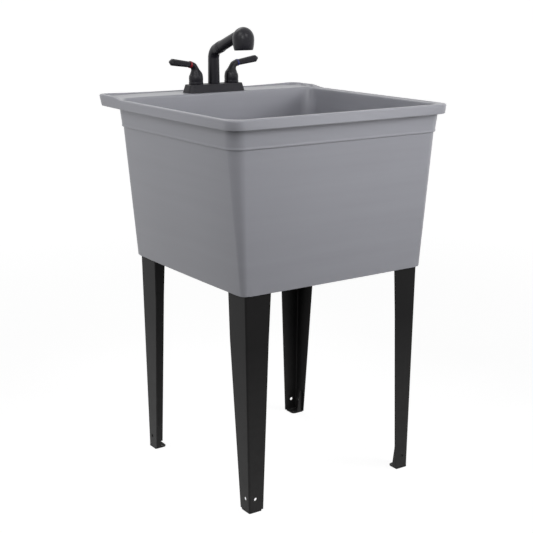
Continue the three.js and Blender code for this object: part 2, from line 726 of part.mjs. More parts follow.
// -------------------------------------------------------------------- handles
// The hub is a bell whose neck turns outwards to meet the lever. Each control
// point holds the neck's offset from the valve, its radius and its height.
function hubSolid() {
  const neck = new THREE.CatmullRomCurve3([
    new THREE.Vector3(0, 17, HUB_BOTTOM),
    new THREE.Vector3(0, 17.3, 900),
    new THREE.Vector3(0, 17.4, 907),
    new THREE.Vector3(0, 16.3, 914),
    new THREE.Vector3(1.1, 13.4, 920),
    new THREE.Vector3(2.5, 10.3, 926),
    new THREE.Vector3(4.7, 8.9, 931.5),
    new THREE.Vector3(7.6, 8.6, 935.4),
    new THREE.Vector3(14.5, 8.2, 938.8),
    new THREE.Vector3(21, 8, 940),
  ]);
  const sides = 20;
  const levels = 16;
  const rings = [];
  for (let level = 0; level <= levels; level += 1) {
    const centre = neck.getPoint(level / levels);
    const along = neck.getTangent(level / levels);
    const lean = Math.atan2(along.x, along.z);
    const ring = [];
    for (let i = 0; i < sides; i += 1) {
      const angle = (2 * Math.PI * i) / sides;
      const arm = centre.y * Math.cos(angle);
      ring.push(new THREE.Vector3(
        centre.x + arm * Math.cos(lean),
        centre.y * Math.sin(angle),
        centre.z - arm * Math.sin(lean),
      ));
    }
    rings.push(ring);
  }
  const footRing = tube(17.7, 12, HUB_BOTTOM, HUB_BOTTOM + 5.4);
  const cavity = rod(HUB_CAVITY, HUB_BOTTOM - 1, HUB_CAVITY_TOP);
  const stemBore = rod(STEM + GAP, HUB_BOTTOM, 922, 14);
  const studBore = leverFrame(rod(3.5, -12, 4, 12));
  const beyond = leverFrame(block(0, 0, 20, 40, 40, 40));
  const screwBore = moved(rod(2.3, 0, 20, 10).rotate([-90, 0, 0]), 0, 0, 915);
  return cut(union(loft(rings), footRing), cavity, stemBore, studBore, beyond, screwBore);
}

// Turns an upright solid to lie along the lever, its foot at the colour ring.
function leverFrame(solid) {
  const lying = solid.rotate([0, 90 - THREE.MathUtils.radToDeg(LEVER_TILT), 0]);
  return moved(lying, RING_OUT - 2.5, 0, LEVER_ROOT_Z - 2.5 * Math.tan(LEVER_TILT));
}

function leverSolid() {
  const length = (LEVER_TIP - RING_OUT + 2.5) / Math.cos(LEVER_TILT);
  const octagon = (halfHigh, halfDeep, at) => {
    const chamfer = 0.42 * halfHigh;
    const right = [
      [halfHigh, halfDeep - chamfer], [halfHigh - chamfer, halfDeep],
      [chamfer - halfHigh, halfDeep], [-halfHigh, halfDeep - chamfer],
    ];
    const left = right.map(([high, deep]) => [-high, -deep]);
    return [...right, ...left].map(([high, deep]) => new THREE.Vector3(high, -deep, at)).reverse();
  };
  const bar = loft([
    octagon(7.1, 6.2, 5.1),
    octagon(8.3, 7, length - 7.6),
    octagon(2.2, 2, length),
  ]);
  const stud = rod(3.2, -6, 6, 12);
  return leverFrame(union(bar, stud));
}

function handlePieces(side) {
  const place = (solid) => {
    const handed = side.x < 0 ? solid.mirror([1, 0, 0]) : solid;
    return atTap(handed, side.x * VALVE_X);
  };
  const placeTurned = (solid) => {
    const handed = side.x < 0 ? solid.mirror([1, 0, 0]) : solid;
    return atTap(handed.rotate([0, 0, -side.x * side.turn]), side.x * VALVE_X);
  };
  const cartridge = cut(
    union(rod(BARREL_BORE - GAP, 881, 899), rod(7.4, 898, BARREL_TOP - GAP, 20)),
    rod(STEM + GAP, 889, BARREL_TOP + 1, 14),
  );
  const bonnet = cut(
    union(hexPrism(23, BARREL_TOP + GAP, 908), tube(7.2, 5, BARREL_TOP + GAP, 909, 18)),
    rod(5.4, BARREL_TOP, 910, 18),
  );
  const stem = union(rod(STEM, 889.6, 921, 14), rod(STEM + 0.9, 903, 906, 14));
  const ringColour = side.name === 'hot' ? material(0x9a2230, 0.4, 0) : material(0x2f3a86, 0.4, 0);
  const ring = leverFrame(tube(8.7, 3.6, 0.3, 4.8, 24));
  const screw = moved(rod(1.9, 4.7, 14.5, 12).rotate([-90, 0, 0]), 0, 0, 915);
  const socket = moved(hexPrism(1.8, 12.5, 16).rotate([-90, 0, 0]), 0, 0, 915);
  piece(`${side.name}_cartridge`, place(cartridge), nylonWhite());
  piece(`${side.name}_bonnet_nut`, place(bonnet), brass());
  piece(`${side.name}_stem`, placeTurned(stem), brass());
  piece(`${side.name}_hub`, placeTurned(hubSolid()), tapBlack());
  piece(`${side.name}_index_ring`, placeTurned(ring), ringColour);
  piece(`${side.name}_lever`, placeTurned(leverSolid()), tapBlack());
  piece(`${side.name}_set_screw`, placeTurned(cut(screw, socket)), zincSteel());
}

SIDES.forEach(handlePieces);

function mountingNut() {
  const low = 855;
  const high = RIM_TOP - RIM_PLATE - GAP - 1.6 - GAP;
  return cut(hexPrism(22.4, low, high), rod(SHANK + GAP, low - 1, high + 1));
}

for (const side of SIDES) {
  const top = RIM_TOP - RIM_PLATE - GAP;
  const washer = tube(13, SHANK + GAP, top - 1.6, top);
  piece(`${side.name}_mounting_washer`, atTap(washer, side.x * VALVE_X), zincSteel());
  piece(`${side.name}_mounting_nut`, atTap(mountingNut(), side.x * VALVE_X), brass());
}

// ---------------------------------------------------------------------- spout
// Turns an upright solid to lie along the arm, its foot on the riser's axis.
function armFrame(solid) {
  const lying = solid.rotate([90 - THREE.MathUtils.radToDeg(ARM_TILT), 0, 0]);
  return moved(lying, 0, TAP_Y, ARM_MEET_Z);
}

// A round bar up the riser, round the elbow and out along the arm.
function alongSpout({ foot, waist, mouth }, start, end, sides) {
  const turn = Math.PI / 2 - ARM_TILT;
  const tangent = ELBOW_RADIUS * Math.tan(turn / 2);
  const bends = 7;
  const rings = [];
  const ringAt = (radius, y, z, lean) => {
    const ring = [];
    for (let i = 0; i < sides; i += 1) {
      const angle = (2 * Math.PI * i) / sides;
      const arm = radius * Math.sin(angle);
      ring.push(new THREE.Vector3(
        radius * Math.cos(angle), y + arm * Math.cos(lean), z + arm * Math.sin(lean),
      ));
    }
    rings.push(ring);
  };
  ringAt(foot, TAP_Y, start, 0);
  for (let i = 0; i <= bends; i += 1) {
    const lean = (turn * i) / bends;
    ringAt(
      waist,
      TAP_Y - ELBOW_RADIUS * (1 - Math.cos(lean)),
      ARM_MEET_Z - tangent + ELBOW_RADIUS * Math.sin(lean),
      lean,
    );
  }
  ringAt(mouth, TAP_Y - end * Math.sin(turn), ARM_MEET_Z + end * Math.cos(turn), turn);
  return loft(rings);
}

function spoutRiser() {
  const low = COVER_TOP + 0.6;
  const skin = alongSpout({ foot: RISER_FOOT, waist: RISER_WAIST, mouth: RISER }, low, DOCK, 26);
  const bore = alongSpout(
    { foot: RISER_BORE, waist: RISER_BORE, mouth: RISER_BORE }, low - 5, DOCK + 5, 20,
  );
  const screwBore = atTap(moved(rod(2.3, 0, 20, 10).rotate([-90, 0, 0]), 0, 0, 898));
  return cut(skin, bore, screwBore);
}

// The sleeve of the pull-out wand: a spigot that enters the elbow, a grip
// that tapers to the head, and two finger grooves next to the seam.
function wandSleeve() {
  const seam = DOCK + 0.5;
  const grip = turned([
    [0, seam - 14], [11.2, seam - 14], [11.5, seam], [RISER, seam + 0.2], [RISER, seam + 3],
    [RISER - 0.7, seam + 3.6], [RISER - 0.7, seam + 4.6], [RISER, seam + 5.2],
    [RISER, seam + 8.2], [RISER - 0.7, seam + 8.8], [RISER - 0.7, seam + 9.8],
    [SLEEVE, seam + 10.4], [SLEEVE_END, NECK_AT - 1], [SLEEVE_END - 0.5, NECK_AT - GAP],
    [0, NECK_AT - GAP],
  ], 28);
  return armFrame(cut(grip, rod(7.2, seam - 20, NECK_AT + 5, 18)));
}

function hoseConnector() {
  const low = DOCK - 22;
  const nose = union(rod(6.8, low + 2, DOCK + 6, 24), hexPrism(11.5, low - 4, low + 3));
  return armFrame(cut(nose, rod(3.6, low - 10, DOCK + 10, 16)));
}

const HEAD_Y = TAP_Y - HEAD_REACH;

function headProfile() {
  const profile = [[0, 0], [HEAD_MOUTH - 0.8, 0]];
  for (let i = 0; i <= 4; i += 1) {
    const height = Math.max((HEAD_WAIST * i) / 4, 0.8);
    const bulge = (HEAD_RADIUS - HEAD_MOUTH) * (1 - height / HEAD_WAIST) ** 2;
    profile.push([HEAD_RADIUS - bulge, height]);
  }
  for (let i = 1; i <= 6; i += 1) {
    const angle = (Math.PI / 2) * (i / 6);
    const radius = i === 6 ? 0 : HEAD_RADIUS * Math.cos(angle);
    profile.push([radius, HEAD_WAIST + HEAD_DOME * Math.sin(angle)]);
  }
  return profile;
}

function atHead(solid) {
  return moved(solid.rotate([-HEAD_TILT, 0, 0]), 0, HEAD_Y, HEAD_BOTTOM);
}

// The bell of the head with the neck that meets the wand's sleeve, its spray
// chamber open below and its water way from the neck to the chamber.
function sprayHead() {
  const chamber = HEAD_MOUTH - 2.6;
  const neck = armFrame(turned([
    [0, NECK_AT], [SLEEVE_END - 0.5, NECK_AT], [SLEEVE_END, NECK_AT + 0.7],
    [SLEEVE_END - 0.2, 132], [0, 136],
  ], 28));
  const dome = atHead(turned(headProfile(), 32));
  const hollow = atHead(turned([
    [0, -1], [chamber, -1], [chamber, 11], [chamber - 5, 14], [0, 14],
  ], 28));
  const inlet = armFrame(rod(6, NECK_AT - 1, HEAD_REACH / Math.cos(ARM_TILT), 14));
  const down = atHead(rod(5, 10, HEAD_REACH * Math.tan(ARM_TILT) + ARM_MEET_Z - HEAD_BOTTOM, 14));
  return cut(union(dome, neck), hollow, inlet, down);
}

const NOZZLE_RINGS = [{ count: 6, at: 6 }, { count: 10, at: 12 }];

function eachNozzle(make) {
  return NOZZLE_RINGS.flatMap(({ count, at }) =>
    Array.from({ length: count }, (_, i) => {
      const angle = (2 * Math.PI * i) / count;
      return moved(make(), at * Math.cos(angle), at * Math.sin(angle), 0);
    }));
}

function sprayFace() {
  const rim = HEAD_MOUTH - 2.6 - GAP;
  const plate = turned([
    [0, 0.4], [rim - 1, 0.4], [rim, 1.4], [rim, 3.4], [0, 3.4],
  ], 32);
  return atHead(cut(plate, ...eachNozzle(() => rod(1.5, -1, 6, 7))));
}

function nozzlePad() {
  const pad = rod(HEAD_MOUTH - 4.5, 3.4 + GAP, 5.6);
  return atHead(union(pad, ...eachNozzle(() => rod(1.1, 0.1, 4.4, 6))));
}

piece('spout_riser', spoutRiser(), tapBlack());
piece(
  'spout_bushing',
  atTap(cut(tube(RISER_BORE - GAP, BOSS + GAP, 893, 915.5), tube(13, 11.2, 895.7, 900.3))),
  nylonWhite(),
);
piece('spout_o_ring', atTap(tube(RISER_BORE - GAP, BOSS - 1.1, 917.4, 919.6)), rubberBlack());
piece(
  'spout_set_screw',
  atTap(cut(
    moved(rod(1.9, 11.5, 14.2, 12).rotate([-90, 0, 0]), 0, 0, 898),
    moved(hexPrism(1.8, 13, 16).rotate([-90, 0, 0]), 0, 0, 898),
  )),
  zincSteel(),
);
piece('wand_sleeve', wandSleeve(), tapBlack());
piece('hose_connector', hoseConnector(), brass());
piece('spray_head', sprayHead(), tapBlack());
piece('spray_face', sprayFace(), tapBlack());
piece('nozzle_pad', nozzlePad(), material(0x55565a, 0.8, 0));

// ------------------------------------------------------------------- assembly
const group = new THREE.Group();
group.add(...meshes);

export default group;
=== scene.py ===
"""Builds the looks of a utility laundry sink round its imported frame.

Lengths in the code are millimetres until a mesh is made, and metres after it.
The axes are the frame's: +Z up, the sink's front towards -Y, the floor at zero.
"""

import math

import bpy
import numpy as np
from bpy.props import FloatProperty, FloatVectorProperty, PointerProperty
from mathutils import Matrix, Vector


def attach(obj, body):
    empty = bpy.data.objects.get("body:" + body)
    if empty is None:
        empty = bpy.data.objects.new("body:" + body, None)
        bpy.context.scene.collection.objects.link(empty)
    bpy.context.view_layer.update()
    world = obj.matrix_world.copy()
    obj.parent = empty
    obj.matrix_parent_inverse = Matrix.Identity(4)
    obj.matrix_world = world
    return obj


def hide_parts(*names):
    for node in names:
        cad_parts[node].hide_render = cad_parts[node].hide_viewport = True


bl_info = {
    "name": "Utility laundry sink",
    "version": (1, 0, 0),
    "blender": (4, 5, 0),
    "location": "3D View > Sidebar > Laundry sink",
    "description": "A moulded tub on steel angle legs, with a two-handle pull-out tap",
    "category": "Object",
}

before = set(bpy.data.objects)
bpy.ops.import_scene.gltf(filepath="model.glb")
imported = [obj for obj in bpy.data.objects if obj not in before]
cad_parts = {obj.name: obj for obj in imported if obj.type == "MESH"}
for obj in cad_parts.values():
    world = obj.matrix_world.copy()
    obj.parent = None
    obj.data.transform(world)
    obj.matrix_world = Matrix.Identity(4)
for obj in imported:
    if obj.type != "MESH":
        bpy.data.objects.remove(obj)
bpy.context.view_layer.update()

MM = 0.001

# Rim, deck and bowl, in millimetres.
RIM_HALF_X = 292.0
RIM_HALF_Y = 306.5
RIM_CORNER = 32.0
RIM_TOP = 871.5
APRON_BOTTOM = 850.0
UNDER_RIM = 867.5
RIM_DRAFT = 2.0
RIM_ROUND = 4.0
TRAY_HALF_X = 280.0
TRAY_BACK = 294.5
TRAY_CORNER = 24.0
BOWL_Y = -34.0
MOUTH_Y = -36.8
BOWL_FOOT = 498.4
BOWL_HALF_X = 248.1  # outside, at the foot
BOWL_HALF_Y = 240.5
BOWL_FLARE_X = 26.5  # what a half size gains from the foot up to the step
BOWL_FLARE_Y = 11.1
STEP_Z = 807.5
DRAIN_SEAT = 519.0

# Legs and feet.
LEG_SHEET = 2.2
LEG_BEND = 4.0
LEG_TOP = 519.0
LEG_BOTTOM = 3.3
LEG_SHOULDER = 390.0
LEG_HOLE_Z = 31.0
LEG_HOLE_IN = 17.0
HOLE_RADIUS = 4.0
LEG_KEEP = 25.0
LEG_SPREAD = 60.0
FOOT_PLATE = 3.0
FOOT_SIZE = 32.0
FOOT_GAP = 0.3
FOOT_TOP = 62.0

# Tap.
TAP_Y = 236.8
VALVE_X = 51.0
COVER_BOTTOM = 871.8
COVER_TOP = 891.0
LEVER_TILT = math.radians(8.5)
LEVER_ROOT = (14.5, 0.0, 939.126)
LEVER_REACH = 64.1  # level distance from the ring to the tip
LEVER_FOOT = 5.1  # clear of the ring
ARM_TILT = math.radians(20.3)
ARM_MEET_Z = 969.3
ELBOW_RADIUS = 25.0
ELBOW_RINGS = 28
RISER_FOOT = 891.6
DOCK = 31.0
HEAD_REACH = 136.3
HEAD_BOTTOM = 978.0
HEAD_TILT = math.radians(3)
HEAD_RADIUS = 25.8
HEAD_WIDEST = 26.4  # height of the widest ring over the head's bottom
HEAD_DOME = 27.6  # height of the dome over the widest ring
HOT_TURN = math.radians(6)

CORNERS = {
    "front_left": (-1, -1),
    "front_right": (1, -1),
    "back_left": (-1, 1),
    "back_right": (1, 1),
}
SIDES = {"hot": -1, "cold": 1}


# ------------------------------------------------------------------- surfaces
def band(rings, wrap=False, start=None, end=None):
    """Faces through a stack of closed rings, anticlockwise seen from the last one.

    Quad (i, j) joins points j and j + 1 of ring i to those of ring i + 1. wrap
    joins the last ring to the first, and start and end are poles that close an
    open end with a fan.
    """
    levels, count = rings.shape[:2]
    index = np.arange(levels * count).reshape(levels, count)
    points = rings.reshape(-1, 3)
    path = np.vstack((index, index[:1])) if wrap else index
    low, high = path[:-1], path[1:]
    quads = np.stack((low, np.roll(low, -1, 1), np.roll(high, -1, 1), high), -1)
    fans = []
    for ring, pole, turned_over in ((index[0], start, True), (index[-1], end, False)):
        if pole is not None:
            fan = np.stack((ring, np.roll(ring, -1), np.full(count, len(points))), -1)
            fans.append(fan[:, ::-1] if turned_over else fan)
            points = np.vstack((points, pole))
    triangles = np.vstack(fans) if fans else np.empty((0, 3), int)
    return points, quads.reshape(-1, 4), triangles


def soften(path, reach, steps=5, closed=False, spans=None):
    """Rounds the corners of a path.

    A corner c whose sides carry the points a and b at the distance reach turns
    into the curve (1 - s)^2 a + 2 s (1 - s) c + s^2 b. One more point stands on
    each side at twice the reach, so that a shade or a mask ends there. spans
    names the columns that distances are measured in.
    """
    path = np.asarray(path, float)
    reach = np.broadcast_to(np.asarray(reach, float), len(path))[:, None]
    arms = [np.roll(path, 1, 0) - path, np.roll(path, -1, 0) - path]
    columns = slice(None) if spans is None else list(spans)
    lengths = [
        np.maximum(np.linalg.norm(arm[:, columns], axis=1, keepdims=True), 1e-9)
        for arm in arms
    ]
    near = [
        path + arm * np.minimum(reach / length, 0.40)
        for arm, length in zip(arms, lengths)
    ]
    far = [
        path + arm * np.minimum(2 * reach / length, 0.48)
        for arm, length in zip(arms, lengths)
    ]
    s = np.linspace(0, 1, steps)[None, :, None]
    curve = (1 - s) ** 2 * near[0][:, None] + 2 * s * (1 - s) * path[:, None]
    curve = curve + s**2 * near[1][:, None]
    curve = np.concatenate((far[0][:, None], curve, far[1][:, None]), 1)
    if closed:
        return curve.reshape(-1, path.shape[1])
    inner = curve[1:-1].reshape(-1, path.shape[1])
    return np.vstack((path[:1], inner, path[-1:]))


def outline_terms(per_arc, per_side):
    """A rounded rectangle's points are sign * (half - corner) + corner * bend.

    sign is the corner's quadrant on an arc and runs from one quadrant to the next
    along a side; bend is the unit vector of the arc's angle.
    """
    quadrant = np.array([[1, 1], [-1, 1], [-1, -1], [1, -1]], float)
    angle = (np.arange(4)[:, None] + np.linspace(0, 1, per_arc)) * math.pi / 2
    arc = np.stack((np.cos(angle), np.sin(angle)), -1)
    share = np.linspace(0, 1, per_side + 2)[1:-1, None]
    side = quadrant[:, None] * (1 - share) + np.roll(quadrant, -1, 0)[:, None] * share
    sign = np.concatenate((np.repeat(quadrant[:, None], per_arc, 1), side), 1)
    bend = np.concatenate((arc, np.repeat(arc[:, -1:], per_side, 1)), 1)
    return sign.reshape(-1, 2), bend.reshape(-1, 2)


def rounded_rings(stations, per_arc, per_side):
    """Rings from rows of (half x, half y, corner radius, middle y, height)."""
    sign, bend = outline_terms(per_arc, per_side)
    half, corner = stations[:, None, 0:2], stations[:, None, 2:3]
    flat = sign * (half - corner) + corner * bend
    flat[..., 1] += stations[:, None, 3]
    height = np.broadcast_to(stations[:, None, 4:5], (*flat.shape[:2], 1))
    return np.concatenate((flat, height), -1)


def turned_rings(profile, sides):
    """A profile of (radius, height) carried round the Z axis: (r cos a, r sin a, h)."""
    profile = np.asarray(profile, float)
    angle = np.linspace(0, 2 * math.pi, sides, endpoint=False)
    radius, height = profile[:, :1], profile[:, 1:]
    return np.stack(
        (
            radius * np.cos(angle),
            radius * np.sin(angle),
            np.broadcast_to(height, (len(profile), sides)),
        ),
        -1,
    )


def turned(profile, reach=0.5, sides=64, steps=4):
    """A solid of revolution, its profile given from the lower pole to the upper one."""
    path = soften(profile, reach, steps)
    low, high = path[0, 1], path[-1, 1]
    return band(turned_rings(path[1:-1], sides), start=(0, 0, low), end=(0, 0, high))


def turned_ring(profile, reach=0.5, sides=64, steps=4):
    """A ring of revolution, its section given as a closed loop, the outer side upwards."""
    path = soften(profile, reach, steps, closed=True)
    return band(turned_rings(path, sides), wrap=True)


def tube_section(outer, inner, low, high):
    """The closed section of a plain tube, for turned_ring."""
    return [(outer, low), (outer, high), (inner, high), (inner, low)]


def swept_rings(centres, leans, radii, sides):
    """Circles carried along a path in the XZ plane: centre + r cos a t + r sin a y.

    t is the unit vector across the path, turned by the lean from the X axis
    towards -Z.
    """
    angle = np.linspace(0, 2 * math.pi, sides, endpoint=False)
    across = np.stack((np.cos(leans), np.zeros_like(leans), -np.sin(leans)), -1)
    out = radii[:, None, None] * np.cos(angle)[None, :, None] * across[:, None]
    out[..., 1] += radii[:, None] * np.sin(angle)
    return centres[:, None] + out


def through(points, count):
    """A smooth path through control points, count samples from first to last.

    Between p1 and p2, with p0 and p3 beyond them, it is half of 2 p1 + (p2 - p0) t
    + (2 p0 - 5 p1 + 4 p2 - p3) t^2 + (3 p1 - p0 - 3 p2 + p3) t^3.
    """
    points = np.asarray(points, float)
    ends = (2 * points[0] - points[1], 2 * points[-1] - points[-2])
    full = np.vstack((ends[0], points, ends[1]))
    place = np.linspace(0, len(points) - 1, count)
    first = np.minimum(place.astype(int), len(points) - 2)
    t = (place - first)[:, None]
    p0, p1, p2, p3 = (full[first + k] for k in range(4))
    cubic = 2 * p1 + (p2 - p0) * t + (2 * p0 - 5 * p1 + 4 * p2 - p3) * t**2
    return (cubic + (3 * p1 - p0 - 3 * p2 + p3) * t**3) / 2


def placed(shell, turn=None, shift=(0, 0, 0)):
    """A shell turned by a 3 x 3 matrix and moved. A mirror turns its faces over."""
    points, quads, triangles = shell
    turn = np.eye(3) if turn is None else np.asarray(turn, float)
    if np.linalg.det(turn) < 0:
        quads, triangles = quads[:, ::-1], triangles[:, ::-1]
    return points @ turn.T + np.asarray(shift, float), quads, triangles


def joined(shells):
    """Several shells as one list of points, quads and triangles."""
    offsets = np.cumsum([0] + [len(shell[0]) for shell in shells[:-1]])
    points = np.vstack([shell[0] for shell in shells])
    quads = np.vstack([shell[1] + at for shell, at in zip(shells, offsets)])
    triangles = np.vstack([shell[2] + at for shell, at in zip(shells, offsets)])
    return points, quads, triangles


def convexity(mesh):
    """How sharply the surface turns outwards at each vertex, in 1 / metre.

    It is the mean over a vertex's edges of (n2 - n1) . (p2 - p1) / |p2 - p1|^2.
    """
    count = len(mesh.vertices)
    place, normal = np.empty(count * 3), np.empty(count * 3)
    mesh.vertices.foreach_get("co", place)
    mesh.vertices.foreach_get("normal", normal)
    place, normal = place.reshape(-1, 3), normal.reshape(-1, 3)
    ends = np.empty(len(mesh.edges) * 2, np.int32)
    mesh.edges.foreach_get("vertices", ends)
    first, second = ends.reshape(-1, 2).T
    step = place[second] - place[first]
    bend = ((normal[second] - normal[first]) * step).sum(1)
    bend /= np.maximum((step**2).sum(1), 1e-12)
    total = np.bincount(first, bend, count) + np.bincount(second, bend, count)
    return total / np.maximum(np.bincount(ends, minlength=count), 1)


WEAR_FROM = 90  # bend, in 1 / metre, at which an edge starts to show wear
WEAR_SPAN = 260


def make_piece(name, shells, material, body, nodes, sharp=40.0, edge=None):
    """One finished object from shells in millimetres, riding on its body.

    The point attribute edge is 1 on tight outward bends and 0 on flat faces, for
    the wear that the materials draw there.
    """
    points, quads, triangles = joined(shells)
    mesh = bpy.data.meshes.new(name)
    faces = quads.tolist() + triangles.tolist()
    mesh.from_pydata((points * MM).tolist(), [], faces)
    mesh.validate()
    mesh.shade_smooth()
    mesh.set_sharp_from_angle(angle=math.radians(sharp))
    turning = convexity(mesh)
    share = np.clip((turning - WEAR_FROM) / WEAR_SPAN, 0, 1) if edge is None else edge
    attribute = mesh.attributes.new("edge", "FLOAT", "POINT")
    attribute.data.foreach_set("value", share.astype(np.float32))
    mesh.materials.append(material)
    piece = bpy.data.objects.new(name, mesh)
    bpy.context.scene.collection.objects.link(piece)
    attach(piece, body)
    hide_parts(*nodes)
    return piece


def add_bevel(piece, width):
    """A small rounding on a piece's sharp edges."""
    bevel = piece.modifiers.new("rounded_edges", "BEVEL")
    bevel.width = width * MM
    bevel.segments = 2
    bevel.limit_method = "ANGLE"
    bevel.angle_limit = math.radians(40)


# ------------------------------------------------------------------ materials
class Tree:
    """Short calls for adding and linking the nodes of one tree."""

    def __init__(self, tree):
        self.tree = tree

    def add(self, kind, inputs=None, **settings):
        node = self.tree.nodes.new(kind)
        for key, value in settings.items():
            setattr(node, key, value)
        for key, value in (inputs or {}).items():
            self.put(node.inputs[key], value)
        return node

    def put(self, socket, value):
        if isinstance(value, bpy.types.NodeSocket):
            self.tree.links.new(value, socket)
        else:
            socket.default_value = value

    def math(self, operation, *values, clamp=False):
        node = self.add("ShaderNodeMath", operation=operation, use_clamp=clamp)
        for socket, value in zip(node.inputs, values):
            self.put(socket, value)
        return node.outputs[0]

    def blend(self, share, first, second, mode="MIX"):
        node = self.add("ShaderNodeMix", data_type="RGBA", blend_type=mode)
        self.put(node.inputs["Factor"], share)
        self.put(node.inputs[6], first)
        self.put(node.inputs[7], second)
        return node.outputs[2]

    def place(self):
        return self.add("ShaderNodeTexCoord").outputs["Object"]

    def noise(self, vector, scale, detail, roughness):
        inputs = {"Vector": vector, "Scale": scale, "Detail": detail, "Roughness": roughness}
        return self.add("ShaderNodeTexNoise", inputs).outputs[0]

    def group(self, node_group, *values):
        node = self.add("ShaderNodeGroup", node_tree=node_group)
        for socket, value in zip(node.inputs, values):
            socket.default_value = value
        return node

    def ramp(self, value, low, high, to_low=0.0, to_high=1.0):
        node = self.add("ShaderNodeMapRange", {"Value": value}, clamp=True)
        node.inputs["From Min"].default_value = low
        node.inputs["From Max"].default_value = high
        node.inputs["To Min"].default_value = to_low
        node.inputs["To Max"].default_value = to_high
        return node.outputs[0]


def shared_group(name, inputs, outputs):
    """Turns a function that fills a tree into one that gives its node group, made once.

    The group has float sockets. The function gets the tree, the place in object
    coordinates, the group's inputs and the sockets that its results go to.
    """

    def wrap(fill):
        def group():
            if name in bpy.data.node_groups:
                return bpy.data.node_groups[name]
            made = bpy.data.node_groups.new(name, "ShaderNodeTree")
            kind = "NodeSocketFloat"
            for label, default in inputs.items():
                socket = made.interface.new_socket(label, in_out="INPUT", socket_type=kind)
                socket.default_value = default
            for label in outputs:
                made.interface.new_socket(label, in_out="OUTPUT", socket_type=kind)
            tree = Tree(made)
            entry, leave = tree.add("NodeGroupInput"), tree.add("NodeGroupOutput")
            fill(tree, tree.place(), entry.outputs, leave.inputs)
            return made

        return group

    return wrap


@shared_group(
    "Surface grain",
    {"Grain per metre": 1200.0, "Clouds per metre": 9.0, "Wave share": 0.2},
    ("Height", "Cloud", "Speck"),
)
def surface_grain(tree, place, values, results):
    """Fine and cloudy unevenness. Height feeds a bump, Cloud and Speck feed colour and gloss."""
    grain = tree.noise(place, values[0], 2.0, 0.6)
    cloud = tree.noise(place, values[1], 3.0, 0.5)
    speck = tree.add(
        "ShaderNodeTexVoronoi",
        {"Vector": place, "Scale": tree.math("MULTIPLY", values[0], 0.22)},
    ).outputs["Distance"]
    wave = tree.math("MULTIPLY", cloud, values[2])
    tree.put(results["Height"], tree.math("ADD", grain, wave))
    tree.put(results["Cloud"], tree.math("SUBTRACT", cloud, 0.5))
    tree.put(results["Speck"], tree.ramp(speck, 0.05, 0.16, 1.0, 0.0))


@shared_group("Worn edge", {"Amount": 0.5, "Breaks per metre": 140.0}, ("Mask",))
def worn_edge(tree, place, values, results):
    """A mask on tight outward edges, broken up by noise."""
    edge = tree.add("ShaderNodeAttribute", attribute_name="edge").outputs["Fac"]
    broken = tree.ramp(tree.noise(place, values[1], 4.0, 0.65), 0.38, 0.62, 0.25, 1.0)
    mask = tree.math("MULTIPLY", edge, broken)
    tree.put(results[0], tree.math("MULTIPLY", mask, values[0], clamp=True))


@shared_group("Settled dust", {"Amount": 0.1, "Patches per metre": 30.0}, ("Mask",))
def settled_dust(tree, place, values, results):
    """A mask on faces that look upwards, thin and patchy."""
    normal = tree.add("ShaderNodeNewGeometry").outputs["Normal"]
    up = tree.add("ShaderNodeSeparateXYZ", {"Vector": normal}).outputs["Z"]
    noise = tree.noise(place, values[1], 5.0, 0.7)
    mask = tree.math("MULTIPLY", tree.ramp(up, 0.55, 0.95), tree.ramp(noise, 0.35, 0.7))
    tree.put(results[0], tree.math("MULTIPLY", mask, values[0], clamp=True))


@shared_group("Flow streaks", {"Along per metre": 2.5, "Across per metre": 55.0}, ("Streak",))
def flow_streaks(tree, place, values, results):
    """Faint level streaks that a moulded wall shows, long and thin, from -0.5 to 0.5."""
    parts = tree.add("ShaderNodeSeparateXYZ", {"Vector": place}).outputs
    scales = (values[0], values[0], values[1])
    parts = [tree.math("MULTIPLY", part, scale) for part, scale in zip(parts, scales)]
    stretched = tree.add("ShaderNodeCombineXYZ", dict(enumerate(parts))).outputs[0]
    noise = tree.noise(stretched, 1.0, 3.0, 0.55)
    tree.put(results[0], tree.math("SUBTRACT", noise, 0.5))


@shared_group("Painted floor sheen", {"Amount": 0.5, "Reach": 0.38}, ("Mask",))
def painted_floor_sheen(tree, place, values, results):
    """A mask of painted sheen, the floor's reflection, that rises towards the floor, broken up by
    noise.
    """
    height = tree.add("ShaderNodeSeparateXYZ", {"Vector": place}).outputs["Z"]
    low = tree.math("SUBTRACT", 1.0, tree.math("DIVIDE", height, values[1]), clamp=True)
    broken = tree.ramp(tree.noise(place, 45.0, 4.0, 0.6), 0.3, 0.7, 0.8, 1.1)
    mask = tree.math("MULTIPLY", tree.math("MULTIPLY", low, broken), values[0], clamp=True)
    tree.put(results[0], mask)


DUST_COLOUR = (0.55, 0.54, 0.52, 1)
# Painted reflection: the paler tone a finish takes towards the floor, standing for the floor's
# sheen in it.
FLOOR_SHEEN_COLOUR = (0.09, 0.088, 0.088, 1)


